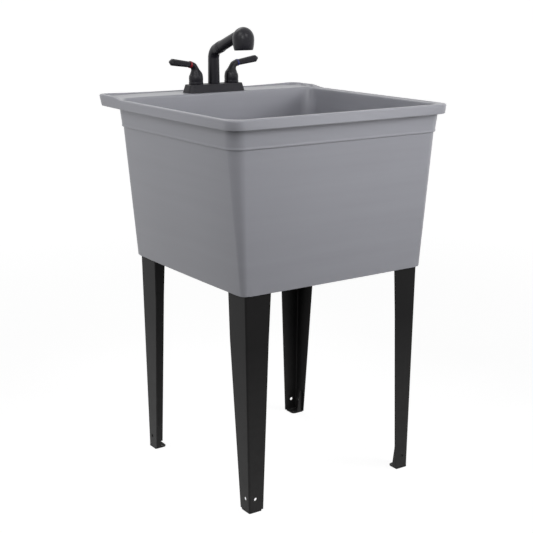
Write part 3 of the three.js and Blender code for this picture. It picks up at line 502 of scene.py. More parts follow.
def finish(
    name,
    colour,
    roughness,
    metallic=0.0,
    edge=0.4,
    dust=0.05,
    grain=1200.0,
    clouds=9.0,
    cloud_shade=0.06,
    bump=0.00004,
    gloss_spread=0.08,
    fleck=0.0,
    specular=0.5,
    rings=None,
    streak=0.0,
    floor_sheen=0.0,
):
    """A finish with grain, cloudy colour, worn edges, dust and uneven gloss, and if asked a painted
    reflection of the floor that lightens it towards the floor.

    rings gives circular machining marks about a vertical axis at (x, y) in metres.
    """
    if name in bpy.data.materials:
        return bpy.data.materials[name]
    material = bpy.data.materials.new(name)
    material.use_nodes = True
    material.diffuse_color = (*colour, 1)
    tree = Tree(material.node_tree)
    shader = material.node_tree.nodes["Principled BSDF"]
    shader.inputs["Specular IOR Level"].default_value = specular
    shader.inputs["Metallic"].default_value = metallic
    marks = tree.group(surface_grain(), grain, clouds)
    wear = tree.group(worn_edge(), edge)
    film = tree.group(settled_dust(), dust)
    base = tree.add("ShaderNodeRGB")
    base.outputs[0].default_value = (*colour, 1)
    shade = tree.math("MULTIPLY_ADD", marks.outputs["Cloud"], cloud_shade * 2, 1.0)
    shade = tree.math("MULTIPLY_ADD", marks.outputs["Speck"], -fleck, shade)
    if streak:
        flow = tree.group(flow_streaks())
        shade = tree.math("MULTIPLY_ADD", flow.outputs[0], streak * 2, shade)
    grey = tree.add("ShaderNodeCombineColor", {0: shade, 1: shade, 2: shade}).outputs[0]
    tint = tree.blend(1.0, base.outputs[0], grey, "MULTIPLY")
    worn = [min(1.0, part * 1.6 + 0.02) for part in colour]
    tint = tree.blend(wear.outputs[0], tint, (*worn, 1))
    tint = tree.blend(film.outputs[0], tint, DUST_COLOUR)
    # Painted reflection of the floor: the colour lightens towards the floor.
    if floor_sheen:
        floor_sheen_node = tree.group(painted_floor_sheen(), floor_sheen)
        tint = tree.blend(floor_sheen_node.outputs[0], tint, FLOOR_SHEEN_COLOUR)
    tree.put(shader.inputs["Base Color"], tint)
    rough = tree.math("MULTIPLY_ADD", marks.outputs["Cloud"], gloss_spread, roughness)
    rough = tree.math("MULTIPLY_ADD", film.outputs[0], 0.5, rough)
    rough = tree.math("MULTIPLY_ADD", wear.outputs[0], -0.1, rough, clamp=True)
    tree.put(shader.inputs["Roughness"], rough)
    height = marks.outputs["Height"]
    if rings is not None:
        height = tree.math("ADD", height, ring_marks(tree, rings))
    relief = tree.add("ShaderNodeBump", {"Height": height, "Strength": 1.0, "Distance": bump})
    tree.put(shader.inputs["Normal"], relief.outputs[0])
    return material


def ring_marks(tree, centre):
    """Fine circular waves about a vertical axis."""
    back = {"Vector": tree.place(), "Location": (-centre[0], -centre[1], 0)}
    moved = tree.add("ShaderNodeMapping", back).outputs[0]
    wave = tree.add(
        "ShaderNodeTexWave",
        {"Vector": moved, "Scale": 260.0, "Distortion": 0.4, "Detail": 1.0},
        wave_type="RINGS",
        rings_direction="Z",
    )
    return wave.outputs["Fac"]


def settings():
    """The panel's values."""
    return bpy.context.scene.laundry_sink


def moulded_plastic():
    return finish(
        "moulded_grey_plastic",
        settings().tub.plastic_colour,
        roughness=0.3,
        edge=0.25,
        dust=0.03,
        grain=900.0,
        clouds=5.0,
        cloud_shade=0.03,
        bump=0.00005,
        gloss_spread=0.05,
        fleck=0.02,
        streak=0.05,
    )


def leg_paint():
    return finish(
        "black_leg_paint",
        settings().legs.paint_colour,
        roughness=0.4,
        specular=0.12,
        edge=0.35,
        dust=0.04,
        # Painted reflection of the floor: the black lightens towards the feet.
        floor_sheen=0.45,
        grain=700.0,
        clouds=14.0,
        cloud_shade=0.12,
        bump=0.00008,
    )


def tap_finish(name="matte_black_tap", roughness=0.3, specular=0.25, painted_sheen_lift=0.0):
    return finish(
        name,
        # A lift above the tap's black is painted sheen.
        tuple(part + painted_sheen_lift for part in settings().tap.body_colour),
        roughness=roughness,
        specular=specular,
        edge=0.5,
        dust=0.03,
        grain=2200.0,
        clouds=30.0,
        cloud_shade=0.1,
        bump=0.00002,
    )


def index_enamel(name, colour):
    return finish(
        name, colour, roughness=0.3, edge=0.2, dust=0.02, grain=2500.0, bump=0.00001
    )


def bright_steel():
    return finish(
        "bright_steel",
        settings().drain.steel_colour,
        roughness=0.24,
        metallic=1.0,
        edge=0.2,
        grain=1800.0,
        bump=0.00002,
        gloss_spread=0.12,
        rings=(0.0, BOWL_Y * MM),
    )


PLAIN_FINISHES = {
    "zinc_plate": {
        "colour": (0.42, 0.42, 0.41), "roughness": 0.38, "metallic": 1.0, "grain": 1600.0,
        "clouds": 60.0, "cloud_shade": 0.2, "bump": 0.00003, "gloss_spread": 0.2,
    },
    "raw_brass": {
        "colour": (0.52, 0.36, 0.13), "roughness": 0.36, "metallic": 1.0, "grain": 1400.0,
        "clouds": 50.0, "cloud_shade": 0.2, "bump": 0.00003, "gloss_spread": 0.15,
    },
    "black_rubber": {
        "colour": (0.014, 0.014, 0.014), "roughness": 0.72, "dust": 0.12, "grain": 1100.0,
        "clouds": 40.0, "cloud_shade": 0.2, "bump": 0.00006, "edge": 0.3,
    },
    "white_nylon": {
        "colour": (0.66, 0.64, 0.59), "roughness": 0.48, "grain": 900.0, "clouds": 30.0,
        "cloud_shade": 0.05, "bump": 0.00005, "edge": 0.2,
    },
    "nozzle_rubber": {
        "colour": (0.085, 0.088, 0.095), "roughness": 0.62, "grain": 1500.0, "edge": 0.2,
    },
    "spray_plate_black": {
        "colour": (0.02, 0.02, 0.022), "roughness": 0.3, "grain": 1800.0, "bump": 0.00002,
    },
}


def plain_finish(name):
    return finish(name, **PLAIN_FINISHES[name])


# ------------------------------------------------------------------------ tub
TUB_ARC = 16
TUB_SIDE = 58
FLOOR_OUTLINE = (220.8, 211.6, 4.0, BOWL_Y)
STATION_SPANS = (0, 1, 4, 6)
MOUTH_DROP = 6.0
COVE_LOW = 530
COVE_ROUND = 26
BOWL_WALL = 4
BOW = ((490, 498, 811, 850, 862), (4.3, 4.3, 2.8, 2.8, 0))  # heights, and the bow at each
MOUTH_WALL = np.array((275, 247.8, 36, MOUTH_Y, RIM_TOP - MOUTH_DROP, 0, 0))
MOUTH_CREST = np.array((284, 256.3, 44, -39.3, RIM_TOP - MOUTH_DROP, 0, 0))


def round_station(height, radius):
    """A tub station on a circle about the drain."""
    return (*FLOOR_OUTLINE, height, 1.0, radius)


def square_station(half_x, half_y, corner, middle, height):
    """A tub station on a rounded rectangle."""
    return (half_x, half_y, corner, middle, height, 0.0, 0.0)


def tub_rings(stations):
    """Rings of the tub, each blended by its round share with a circle on the same rays."""
    stations = np.asarray(stations, float)
    rings = rounded_rings(stations[:, :5], TUB_ARC, TUB_SIDE)
    arm = rings[..., :2] - (0, BOWL_Y)
    unit = arm / np.linalg.norm(arm, axis=-1, keepdims=True)
    share, radius = stations[:, None, 5:6], stations[:, None, 6:7]
    rings[..., :2] = arm * (1 - share) + unit * radius * share + (0, BOWL_Y)
    return bowed(rings)


def wall_size(height):
    """The share of the way from the bowl's foot to its step, and the half sizes there."""
    share = (height - BOWL_FOOT) / (STEP_Z - BOWL_FOOT)
    return share, BOWL_HALF_X + BOWL_FLARE_X * share, BOWL_HALF_Y + BOWL_FLARE_Y * share


def bowed(rings):
    """Draws the bowl's walls in towards its corners, so that each wall bulges a little.

    A wall at half size h moves in by bow * w^3, where w is the distance from the wall's
    middle over its half length, and bow goes with height as in BOW.
    """
    height = rings[..., 2]
    _, half_x, half_y = wall_size(height)
    bow = np.interp(height, BOW[0], BOW[1])
    x, y = rings[..., 0], rings[..., 1] - BOWL_Y
    along_x, along_y = np.abs(x / half_x) ** 3, np.abs(y / half_y) ** 3
    rings[..., 0] = x * (1 - bow * along_y / half_x)
    rings[..., 1] = y * (1 - bow * along_x / half_y) + BOWL_Y
    return rings


def s_curve(value):
    """A smooth step from 0 to 1: s^2 (3 - 2 s), with s the value held between 0 and 1."""
    share = np.clip(value, 0, 1)
    return share * share * (3 - 2 * share)


def border_lift(x, y):
    """The deck's border: an S-curve along the side rims times 1.6 + 4 |x / half|^3."""
    return s_curve((y - 168) / 50) * (1.6 + 4 * np.abs(x / RIM_HALF_X) ** 3)


def border_share(x, y):
    """1 on the border round the deck and 0 in its tray, by the distance from the tray's outline."""
    out_x = np.abs(x) - (TRAY_HALF_X - TRAY_CORNER)
    out_y = y - (TRAY_BACK - TRAY_CORNER)
    outside = np.hypot(np.maximum(out_x, 0), np.maximum(out_y, 0))
    depth = outside + np.minimum(np.maximum(out_x, out_y), 0) - TRAY_CORNER
    return s_curve((depth + 1.3) / 2.2)


def tub_inside():
    """Stations from the drain's bore up to the mouth of the bowl."""
    quarter = np.linspace(0, math.pi / 2, 9)
    path = soften(
        [
            round_station(511, 23),
            round_station(DRAIN_SEAT, 23),
            round_station(DRAIN_SEAT, 36.5),
            round_station(523.5, 36.5),
            (*FLOOR_OUTLINE, 529.9, 0.02, 210),
        ],
        (1, 0.5, 0.5, 0.8, 1),
        spans=(4, 6),
    )
    height = COVE_LOW + COVE_ROUND * (1 - np.cos(quarter))
    inset = COVE_ROUND * (1 - np.sin(quarter)) + BOWL_WALL
    share, half_x, half_y = wall_size(height)
    zero = np.zeros(len(quarter))
    corner = np.maximum(14 + 14 * share - inset, 4)
    cove = (half_x - inset, half_y - inset, corner, zero + BOWL_Y, height, zero, zero)
    cove = np.stack(cove, -1)
    out = (1 - np.cos(quarter))[:, None]
    lip = MOUTH_WALL * (1 - out) + MOUTH_CREST * out
    lip[:, 4] += MOUTH_DROP * np.sin(quarter)
    wall = [
        square_station(251.2, 239.6, 14.5, BOWL_Y, 572),
        square_station(270.2, 243.3, 31.0, MOUTH_Y, 801),
        square_station(270.9, 243.7, 31.9, MOUTH_Y, 808),
        square_station(271.6, 244.4, 32.6, MOUTH_Y, 818),
        square_station(274.4, 247.2, 35.4, MOUTH_Y, 858),
    ]
    return np.vstack((path[:-1], cove, wall, lip))


def tub_outside():
    """Stations from the rim's crest down the apron, under the rim and under the bowl."""
    quarter = np.linspace(math.pi / 2, 0, 8)[1:]
    inset = RIM_DRAFT + RIM_ROUND * (1 - np.cos(quarter))
    zero = np.zeros(len(quarter))
    height = RIM_TOP - RIM_ROUND * (1 - np.sin(quarter))
    sizes = (RIM_HALF_X - inset, RIM_HALF_Y - inset, RIM_CORNER - inset)
    crest = np.stack((*sizes, zero, height, zero, zero), -1)
    path = [
        tuple(crest[-1]),
        square_station(RIM_HALF_X, RIM_HALF_Y, RIM_CORNER, 0, APRON_BOTTOM),
        square_station(287.5, 302, 28.5, 0, APRON_BOTTOM),
        square_station(287.5, 302, 28.5, 0, UNDER_RIM),
        square_station(281.4, 257.4, 32, BOWL_Y, UNDER_RIM),
        square_station(278.5, 255.2, 30.2, BOWL_Y, 814),
        square_station(278.9, 255.6, 30.5, BOWL_Y, 811),
        square_station(278.7, 255.4, 30.4, BOWL_Y, 808.7),
        square_station(275.3, 252.3, 28, BOWL_Y, 808.1),
        square_station(BOWL_HALF_X, BOWL_HALF_Y, 12, BOWL_Y, BOWL_FOOT),
        square_station(244.1, 236.5, 8, BOWL_Y, BOWL_FOOT),
        square_station(245.9, 237.3, 9, BOWL_Y, 520),
        square_station(242.2, 233.4, 7.1, BOWL_Y, 523.5),
        round_station(517.5, 62),
        round_station(517.2, 40),
        round_station(511, 40),
        round_station(511, 23),
    ]
    reach = (1, 1.2, 0.7, 2, 2, 1.2, 0.8, 0.8, 1.2, 1.5, 1.0, 2, 2, 2, 2, 1, 0.5)
    return crest[:-1], soften(path, reach, steps=5, spans=STATION_SPANS)


def tub_skin():
    """The whole moulding as one closed surface, round the drain's axis and along its section.

    Between the mouth and the rim's crest, point = mouth (1 - w) + crest w, with w
    bunched towards the crest where the deck is wide.
    """
    inside = tub_rings(tub_inside())
    crest, below = tub_outside()
    crest_rings, below_rings = tub_rings(crest), tub_rings(below)
    for rings in (crest_rings, below_rings):
        x, y, z = rings[..., 0], rings[..., 1], rings[..., 2]
        rise = np.clip((z - APRON_BOTTOM - 1) / (RIM_TOP - RIM_ROUND - APRON_BOTTOM - 1), 0, 1)
        outer = (np.abs(x) > 288) | (np.abs(y) > 303) | (z > 867.6)
        outer |= np.hypot(x, y) > 400
        rings[..., 2] += border_lift(x, y) * rise * outer
    mouth = inside[-1]
    edge = tub_rings([square_station(286, 300.5, 26, 0, RIM_TOP)])[0]
    length = np.linalg.norm(edge - mouth, axis=1)
    bunch = np.clip((length - 9) / 27, 0.02, 3)
    t = np.linspace(0, 1, 50)[1:, None]
    w = (np.exp(bunch * (1 - t)) - 1) / (np.exp(bunch) - 1)
    deck = edge + (mouth - edge) * w[..., None]
    x, y = deck[..., 0], deck[..., 1]
    deck[..., 2] += border_lift(x, y) * border_share(x, y)
    rings = np.concatenate((inside, deck, crest_rings, below_rings[:-1]))
    return band(rings[:, ::-1], wrap=True)


def leg_corner(height):
    """The outer corner of a leg at a height, on the +X +Y side, from the bowl's middle."""
    share = np.asarray(height, float) / BOWL_FOOT
    return 226.6 + 8.7 * share, 230.6 + 0.8 * share


def to_corner(sign):
    """The mirror matrix and the shift that take a +X +Y part to one of the corners."""
    return np.diag((sign[0], sign[1], 1)), (0, BOWL_Y, 0)


def socket_shell():
    """A socket under the floor: an angle-shaped sleeve round a leg's top."""
    corner_x, corner_y = leg_corner(BOWL_FOOT)
    inner_x, inner_y = corner_x - 8.2, corner_y - 8.2
    end_x, end_y = corner_x - 71, corner_y - 74
    wall_x, wall_y = 246.0, 238.4
    outer = soften(
        [
            (end_x, inner_y),
            (inner_x, inner_y),
            (inner_x, end_y),
            (wall_x, end_y),
            (wall_x, wall_y),
            (end_x, wall_y),
        ],
        (1, 2, 1, 1, 26, 1),
        steps=8,
        closed=True,
    )
    slot_x, slot_y = corner_x - 2.5, corner_y - 2.5
    inner = soften(
        [
            (corner_x - 68.3, slot_y),
            (slot_x, slot_y),
            (slot_x, corner_y - 71.3),
            (corner_x + 0.3, corner_y - 71.3),
            (corner_x + 0.3, corner_y + 0.3),
            (corner_x - 68.3, corner_y + 0.3),
        ],
        (0.5, 1.5, 0.5, 0.5, 4, 0.5),
        steps=8,
        closed=True,
    )
    levels = [(outer, BOWL_FOOT + 0.3), (outer, 524.5), (inner, 524.5), (inner, BOWL_FOOT + 0.3)]
    rings = np.stack([np.column_stack((xy, np.full(len(xy), z))) for xy, z in levels])
    return band(rings, wrap=True)


def build_tub():
    shells = [tub_skin()]
    shells += [placed(socket_shell(), *to_corner(sign)) for sign in CORNERS.values()]
    make_piece(
        "tub_moulding", shells, moulded_plastic(), "sink", ["tub"], sharp=50
    )


# -------------------------------------------------------------- legs and feet
def punched(columns, rows, holes):
    """A grid in a plane with round holes, as points (column, row) and quads.

    holes gives (first column, last column, first row, last row, middle, radius).
    Inside that block the cells give way to rings of quads from the hole's circle to
    the block's border: point = circle (1 - s) + border s.
    """
    across, up = np.meshgrid(columns, rows)
    flat = np.stack((across, up), -1)
    index = np.arange(across.size).reshape(across.shape)
    cells = np.stack((index[:-1, :-1], index[:-1, 1:], index[1:, 1:], index[1:, :-1]), -1)
    keep = np.ones(cells.shape[:2], bool)
    points, quads = [flat.reshape(-1, 2)], []
    start = across.size
    for left, right, low, high, middle, radius in holes:
        keep[low:high, left:right] = False
        border = np.concatenate(
            (
                index[low, left:right],
                index[low:high, right],
                index[high, right:left:-1],
                index[high:low:-1, left],
            )
        )
        edge = flat.reshape(-1, 2)[border]
        arm = edge - middle
        circle = middle + radius * arm / np.linalg.norm(arm, axis=1, keepdims=True)
        share = np.array([0, 0.12, 0.3, 0.6])[:, None, None]
        rings = circle * (1 - share) + edge * share
        count = len(border)
        ring_index = start + np.arange(4 * count).reshape(4, count)
        path = np.vstack((ring_index, border))
        inner, outer = path[:-1], path[1:]
        patch = np.stack((inner, outer, np.roll(outer, -1, 1), np.roll(inner, -1, 1)), -1)
        points.append(rings.reshape(-1, 2))
        quads.append(patch.reshape(-1, 4))
        start += 4 * count
    quads.insert(0, cells[keep].reshape(-1, 4))
    return np.vstack(points), np.vstack(quads)


def leg_fold(points):
    """Folds the unrolled leg. Column q is the distance from the outer corner, + on the
    face flange and - on the side flange; within the bend it turns the corner by an arc.

    Beyond 25 mm the columns spread to the flange's width at that height.
    """
    q, z = points.T
    corner_x, corner_y = leg_corner(z)
    heights = (LEG_BOTTOM, LEG_SHOULDER, BOWL_FOOT, LEG_TOP)
    face = np.interp(z, heights, (36.5, 57.5, 65.0, 66.4))
    side = np.interp(z, heights, (36.5, 65.5, 68.0, 68.5))
    away = np.abs(q)
    spread = LEG_KEEP + (np.where(q > 0, face, side) - LEG_KEEP) * (away - LEG_KEEP) / (
        LEG_SPREAD - LEG_KEEP
    )
    reach = np.where(away > LEG_KEEP, spread, away)
    turn = (1 + np.clip(q / LEG_BEND, -1, 1)) * math.pi / 4
    x = corner_x - LEG_BEND + LEG_BEND * np.cos(turn)
    y = corner_y - LEG_BEND + LEG_BEND * np.sin(turn)
    x = x - np.where(q > LEG_BEND, reach - LEG_BEND, 0)
    y = y - np.where(q < -LEG_BEND, reach - LEG_BEND, 0)
    return np.stack((x, y, z), -1)


def leg_sheet():
    """The outer skin of one leg with its two holes, and its share of edge wear."""
    flat = np.concatenate(([4.6, 6.5], np.linspace(9, 25, 9), [34, 46, 55, 58.4, 60]))
    bend = np.linspace(-LEG_BEND, LEG_BEND, 9)
    columns = np.concatenate((-flat[::-1], bend, flat))
    rows = np.concatenate(
        ([LEG_BOTTOM, 4.3, 8, 15], np.linspace(23, 39, 9), np.linspace(60, 380, 12))
    )
    rows = np.concatenate((rows, [LEG_SHOULDER, 400], np.linspace(430, LEG_TOP, 6)))
    left = len(flat) + len(bend) + 2
    holes = [
        (left, left + 8, 4, 12, (LEG_HOLE_IN, LEG_HOLE_Z), HOLE_RADIUS),
        (5, 13, 4, 12, (-LEG_HOLE_IN, LEG_HOLE_Z), HOLE_RADIUS),
    ]
    points, quads = punched(columns, rows, holes)
    hole = np.hypot(np.abs(points[:, 0]) - LEG_HOLE_IN, points[:, 1] - LEG_HOLE_Z) - HOLE_RADIUS
    rim = np.minimum(LEG_SPREAD - np.abs(points[:, 0]), np.abs(hole))
    rim = np.minimum(rim, points[:, 1] - LEG_BOTTOM)
    edge = np.clip(1 - rim / 1.4, 0, 1)
    edge = np.maximum(edge, 0.45 * np.clip(1 - np.abs(points[:, 0]) / LEG_BEND, 0, 1))
    return (leg_fold(points), quads, np.empty((0, 3), int)), edge


def sheet_piece(name, shells, node, edge):
    """A bent sheet part with its thickness inwards and its cut edges broken."""
    piece = make_piece(name, shells, leg_paint(), "sink", [node], edge=edge)
    solid = piece.modifiers.new("sheet", "SOLIDIFY")
    solid.thickness = LEG_SHEET * MM
    solid.offset = -1
    solid.use_even_offset = True
    add_bevel(piece, 0.45)


def build_legs():
    sheet, edge = leg_sheet()
    for name, sign in CORNERS.items():
        shell = placed(sheet, *to_corner(sign))
        sheet_piece(f"leg_angle_{name}", [shell], f"leg_{name}", edge)


def foot_wall():
    """The foot's wall and its tapered lip, folded round one upright bend.

    Column q runs from the lip's free edge (-16) over the bend (0) to the wall's end.
    """
    bend = 2.5
    out = -LEG_SHEET - FOOT_GAP
    columns = np.concatenate(
        ([-16, -15, -9], np.linspace(-bend, bend, 7), [4.2, 6], np.linspace(8, 22, 9), [24.6, 25.8])
    )
    rows = np.concatenate(([FOOT_PLATE - 0.6, 8, 16], np.linspace(24, 38, 9), [50, 60.6, FOOT_TOP]))
    middle = FOOT_SIZE - LEG_HOLE_IN
    hole = (12, 20, 3, 11, (middle, LEG_HOLE_Z), HOLE_RADIUS)
    points, quads = punched(columns, rows, [hole])
    q, z = points.T
    corner_x, _ = leg_corner(z)
    width = np.interp(z, (FOOT_PLATE, 58), (15.0, 8.0))
    lip = bend + (width - bend) * (np.abs(q) - bend) / (16 - bend)
    turn = (np.clip(q / bend, -1, 1) - 1) * math.pi / 4
    x = corner_x + out - bend + bend * np.cos(turn) - np.where(q < -bend, lip - bend, 0)
    y0 = leg_corner(FOOT_PLATE)[1] - FOOT_SIZE
    y = y0 + bend + bend * np.sin(turn) + np.where(q > bend, q - bend, 0)
    slope = np.where(q < 0, np.clip(-q / 16, 0, 1) * 4, 0) * (z / FOOT_TOP)
    placed_points = np.stack((x, y, z - slope), -1)
    from_hole = np.abs(np.hypot(q - middle, z - LEG_HOLE_Z) - HOLE_RADIUS)
    rim = np.minimum(np.minimum(q + 16, 25.8 - q), np.minimum(FOOT_TOP - z, from_hole))
    return (placed_points, quads, np.empty((0, 3), int)), np.clip(1 - rim / 1.2, 0, 1)


def foot_plate():
    """The floor plate: a square with one round corner, ruled to the circle of its hole."""
    corner = np.array([float(part) for part in leg_corner(FOOT_PLATE)])
    size = FOOT_SIZE
    outline = soften(
        [(0, 0), (-size, 0), (-size, -size), (0, -size)],
        (3.2, 1.2, 11, 1.2),
        steps=9,
        closed=True,
    )
    middle = np.array((8 - size, 10 - size))
    arm = outline - middle
    circle = middle + 3.5 * arm / np.linalg.norm(arm, axis=1, keepdims=True)
    share = np.array([0, 0.012, 0.04, 0.96, 0.985, 1.0])[:, None, None]
    top = (outline * (1 - share) + circle * share).reshape(6, -1, 2)
    heights = FOOT_PLATE - np.array([0.5, 0.1, 0, 0, 0.1, 0.5])
    lower = FOOT_PLATE - heights[::-1]
    flat = np.concatenate((top, top[::-1]))
    height = np.concatenate((heights, lower))[:, None, None]
    rings = np.concatenate((flat, np.broadcast_to(height, (*flat.shape[:2], 1))), -1)
    rings[..., :2] += corner
    return band(rings, wrap=True)


def build_feet():
    wall, edge = foot_wall()
    swap = np.array([[0, 1, 0], [1, 0, 0], [0, 0, 1]], float)
    corner_x, corner_y = (float(part) for part in leg_corner(FOOT_PLATE))
    for name, sign in CORNERS.items():
        mirror, shift = to_corner(sign)
        shells = [wall, foot_plate()]
        if sign[1] < 0:
            centre = np.array((corner_x, corner_y, 0))
            shells = [placed(placed(shell, shift=-centre), swap, centre) for shell in shells]
        foot = placed(shells[0], mirror, shift)
        sheet_piece(f"foot_bent_{name}", [foot], f"foot_{name}", edge)
        plate = placed(shells[1], mirror, shift)
        make_piece(
            f"foot_base_{name}", [plate], leg_paint(), "sink", [f"foot_{name}"]
        )


# ---------------------------------------------------------------------- drain
DRAIN_AT = (0.0, BOWL_Y, 0.0)


def build_drain():
    tail = [(19, 507), (19, 453), (20.4, 452)]
    flange = [(22.3, 453), (22.3, 519.3), (35, 519.3), (35, 520.8), (31, 522.3), (25, 522.0)]
    flange += [(20.6, 520.3), (20.2, 510), *tail]
    reach = (0.5, 1, 0.6, 0.8, 1.5, 2, 2, 1, 1, 0.5, 0.5)
    ribs = joined([rod_shell((0, 0), 3.0, 38.0, 502, 506), rod_shell((0, 1), 3.0, 38.0, 502, 506)])
    shells = [placed(shell, shift=DRAIN_AT) for shell in (turned_ring(flange, reach, 96), ribs)]
    make_piece(
        "strainer_body", shells, bright_steel(), "sink", ["drain_body"]
    )
    plug = [(0, 510.5), (17.8, 510.5), (19.2, 513), (19.2, 519.8), (22, 522.6), (24.8, 522.9)]
    plug += [(25.2, 524.2), (23.6, 525.6)]
    knob = [(6, 526.6), (4, 528.6), (4, 531.6), (6.5, 534.6), (6.5, 537.8), (4.5, 539.8)]
    shell = placed(turned([*plug, *knob, (0, 540.1)], 0.9, 64), shift=DRAIN_AT)
    rubber = plain_finish("black_rubber")
    make_piece("stopper_plug", [shell], rubber, "stopper", ["drain_stopper"])


def rod_shell(direction, width, length, low, high):
    """A flat bar across the drain, along X or along Y."""
    along, across = (length / 2, width / 2) if direction[1] == 0 else (width / 2, length / 2)
    flat = soften(
        [(along, across), (-along, across), (-along, -across), (along, -across)],
        0.6,
        steps=3,
        closed=True,
    )
    levels = [low, low + 0.4, high - 0.4, high]
    scale = [0.93, 1, 1, 0.93]
    rings = np.stack(
        [np.column_stack((flat * part, np.full(len(flat), z))) for part, z in zip(scale, levels)]
    )
    return band(rings, start=(0, 0, low), end=(0, 0, high))


# ------------------------------------------------------------------ tap cover
COVER_ARC = 20
COVER_SIDE = 26


def build_tap_cover():
    def station(inset, height):
        return (80.5 - inset, 23.4 - inset, 13 - inset, 0, height)

    path = [
        station(8.4, COVER_TOP - 2.4),
        station(2.4, COVER_BOTTOM),
        station(0, COVER_BOTTOM),
        station(6.0, COVER_TOP),
        station(12, COVER_TOP),
    ]
    path = soften(path, (1, 0.5, 0.7, 1.5, 1), steps=8, spans=(0, 4))
    rings = rounded_rings(path, COVER_ARC, COVER_SIDE)
    shell = band(rings, start=(0, 0, COVER_TOP - 2.4), end=(0, 0, COVER_TOP))
    shell = placed(shell, shift=(0, TAP_Y, 0))
    # Painted sheen: the cover's black is lifted above the tap's to stand for the glare on its
    # front, while its own gloss is turned down.
    black = tap_finish("matte_black_cover", roughness=0.45, specular=0.2, painted_sheen_lift=0.008)
    make_piece("cover_shell", [shell], black, "sink", ["tap_cover"])


# -------------------------------------------------------------------- handles
def lever_frame():
    """The matrix and shift that lay an upright part along the lever, foot at the ring."""
    c, s = math.cos(math.pi / 2 - LEVER_TILT), math.sin(math.pi / 2 - LEVER_TILT)
    return np.array([[c, 0, s], [0, 1, 0], [-s, 0, c]]), LEVER_ROOT


def hub_bell():
    """The bell of a hub: circles of falling radius along a neck that turns outwards."""
    end_x, _, end_z = LEVER_ROOT
    points = through(
        [
            (0, 17.0, 894.5),
            (0, 17.3, 900),
            (0, 17.4, 907),
            (0, 16.3, 914),
            (1.1, 13.4, 920),
            (2.5, 10.3, 926),
            (4.7, 8.9, 931.5),
            (7.6, 8.6, 935.4),
            (end_x, 8.2, end_z),
        ],
        64,
    )
    step = np.gradient(points, axis=0)
    leans = np.arctan2(step[:, 0], step[:, 2])
    leans[-1] = math.pi / 2 - LEVER_TILT
    centres = np.stack((points[:, 0], np.zeros(len(points)), points[:, 2]), -1)
    rings = swept_rings(centres, leans, points[:, 1], 64)
    return band(rings, start=centres[0], end=centres[-1])


def lever_bar():
    """An eight-sided bar that widens and then closes at its tip, along its own Z."""
    length = LEVER_REACH / math.cos(LEVER_TILT)

    def octagon(high, deep, at):
        chamfer = 0.42 * high
        half = [
            (high, deep - chamfer),
            (high - chamfer, deep),
            (chamfer - high, deep),
            (-high, deep - chamfer),
        ]
        corners = half + [(-a, -b) for a, b in half]
        loop = soften(corners, 0.55, steps=4, closed=True)
        return np.column_stack((loop, np.full(len(loop), at)))

    stations = soften(
        [
            (6.3, 5.4, LEVER_FOOT),
            (7.1, 6.2, 6.0),
            (8.3, 7.0, length - 7.6),
            (2.2, 2.0, length),
            (1.2, 1.0, length),
        ],
        (0.3, 0.6, 1.4, 0.8, 0.3),
        steps=5,
    )
    rings = np.stack([octagon(high, deep, at) for high, deep, at in stations])
    stud = turned([(0, -6), (3.2, -6), (3.2, 6), (0, 6)], 0.3, 24)
    return joined([band(rings, start=(0, 0, LEVER_FOOT), end=(0, 0, length)), stud])


def build_handles():
    lie, root = lever_frame()
    foot = turned_ring(
        [(17.7, 891.8), (17.7, 897.0), (16.4, 897.6), (12, 897.6), (12, 891.8)], 0.5, 96
    )
    ring = turned_ring(tube_section(8.7, 3.6, 0.3, 4.8), 0.6, 64)
    colours = {
        "hot": ("index_red_enamel", settings().tap.hot_colour),
        "cold": ("index_blue_enamel", settings().tap.cold_colour),
    }
    bar = lever_bar()
    for side, sign in SIDES.items():
        angle = HOT_TURN if side == "hot" else 0.0
        c, s = math.cos(angle), math.sin(angle)
        mirror = np.array([[c, -s, 0], [s, c, 0], [0, 0, 1]]) @ np.diag((sign, 1, 1))
        at = (sign * VALVE_X, TAP_Y, 0)
        body = f"{side}_handle"
        hub = [placed(shell, mirror, at) for shell in (hub_bell(), foot)]
        make_piece(f"{side}_hub_bell", hub, tap_finish(), body, [f"{side}_hub"])
        band_ring = placed(placed(ring, lie, root), mirror, at)
        name, colour = colours[side]
        enamel = index_enamel(name, colour)
        make_piece(f"{side}_index_band", [band_ring], enamel, body, [f"{side}_index_ring"])
        lever = [placed(placed(bar, lie, root), mirror, at)]
        make_piece(
            f"{side}_lever_bar", lever, tap_finish(), body, [f"{side}_lever"], sharp=30
        )


# ---------------------------------------------------------------------- spout
def arm_frame():
    """The matrix and shift that lay an upright part along the arm, foot on the riser's axis."""
    angle = math.pi / 2 - ARM_TILT
    c, s = math.cos(angle), math.sin(angle)
    return np.array([[1, 0, 0], [0, c, -s], [0, s, c]]), (0, TAP_Y, ARM_MEET_Z)


def spout_path(radii, end, sides=72):
    """Circles up the riser, round the elbow and out along the arm.

    radii holds the radius at the foot, round the elbow and at the arm's end.
    """
    turn = math.pi / 2 - ARM_TILT
    tangent = ELBOW_RADIUS * math.tan(turn / 2)
    lean = np.linspace(0, turn, ELBOW_RINGS)
    y = np.concatenate(
        ([0, 0], -ELBOW_RADIUS * (1 - np.cos(lean)), [-end * math.sin(turn)])
    )
    z = np.concatenate(
        (
            [RISER_FOOT, RISER_FOOT + 2],
            ARM_MEET_Z - tangent + ELBOW_RADIUS * np.sin(lean),
            [ARM_MEET_Z + end * math.cos(turn)],
        )
    )
    leans = np.concatenate(([0, 0], lean, [turn]))
    foot, waist, mouth = radii
    radius = np.concatenate(([foot, foot], np.full(ELBOW_RINGS, waist), [mouth]))[:, None]
    angle = np.linspace(0, 2 * math.pi, sides, endpoint=False)
    arm = radius * np.sin(angle)
    return np.stack(
        (
            radius * np.cos(angle),
            TAP_Y + y[:, None] + arm * np.cos(leans)[:, None],
            z[:, None] + arm * np.sin(leans)[:, None],
        ),
        -1,
    )


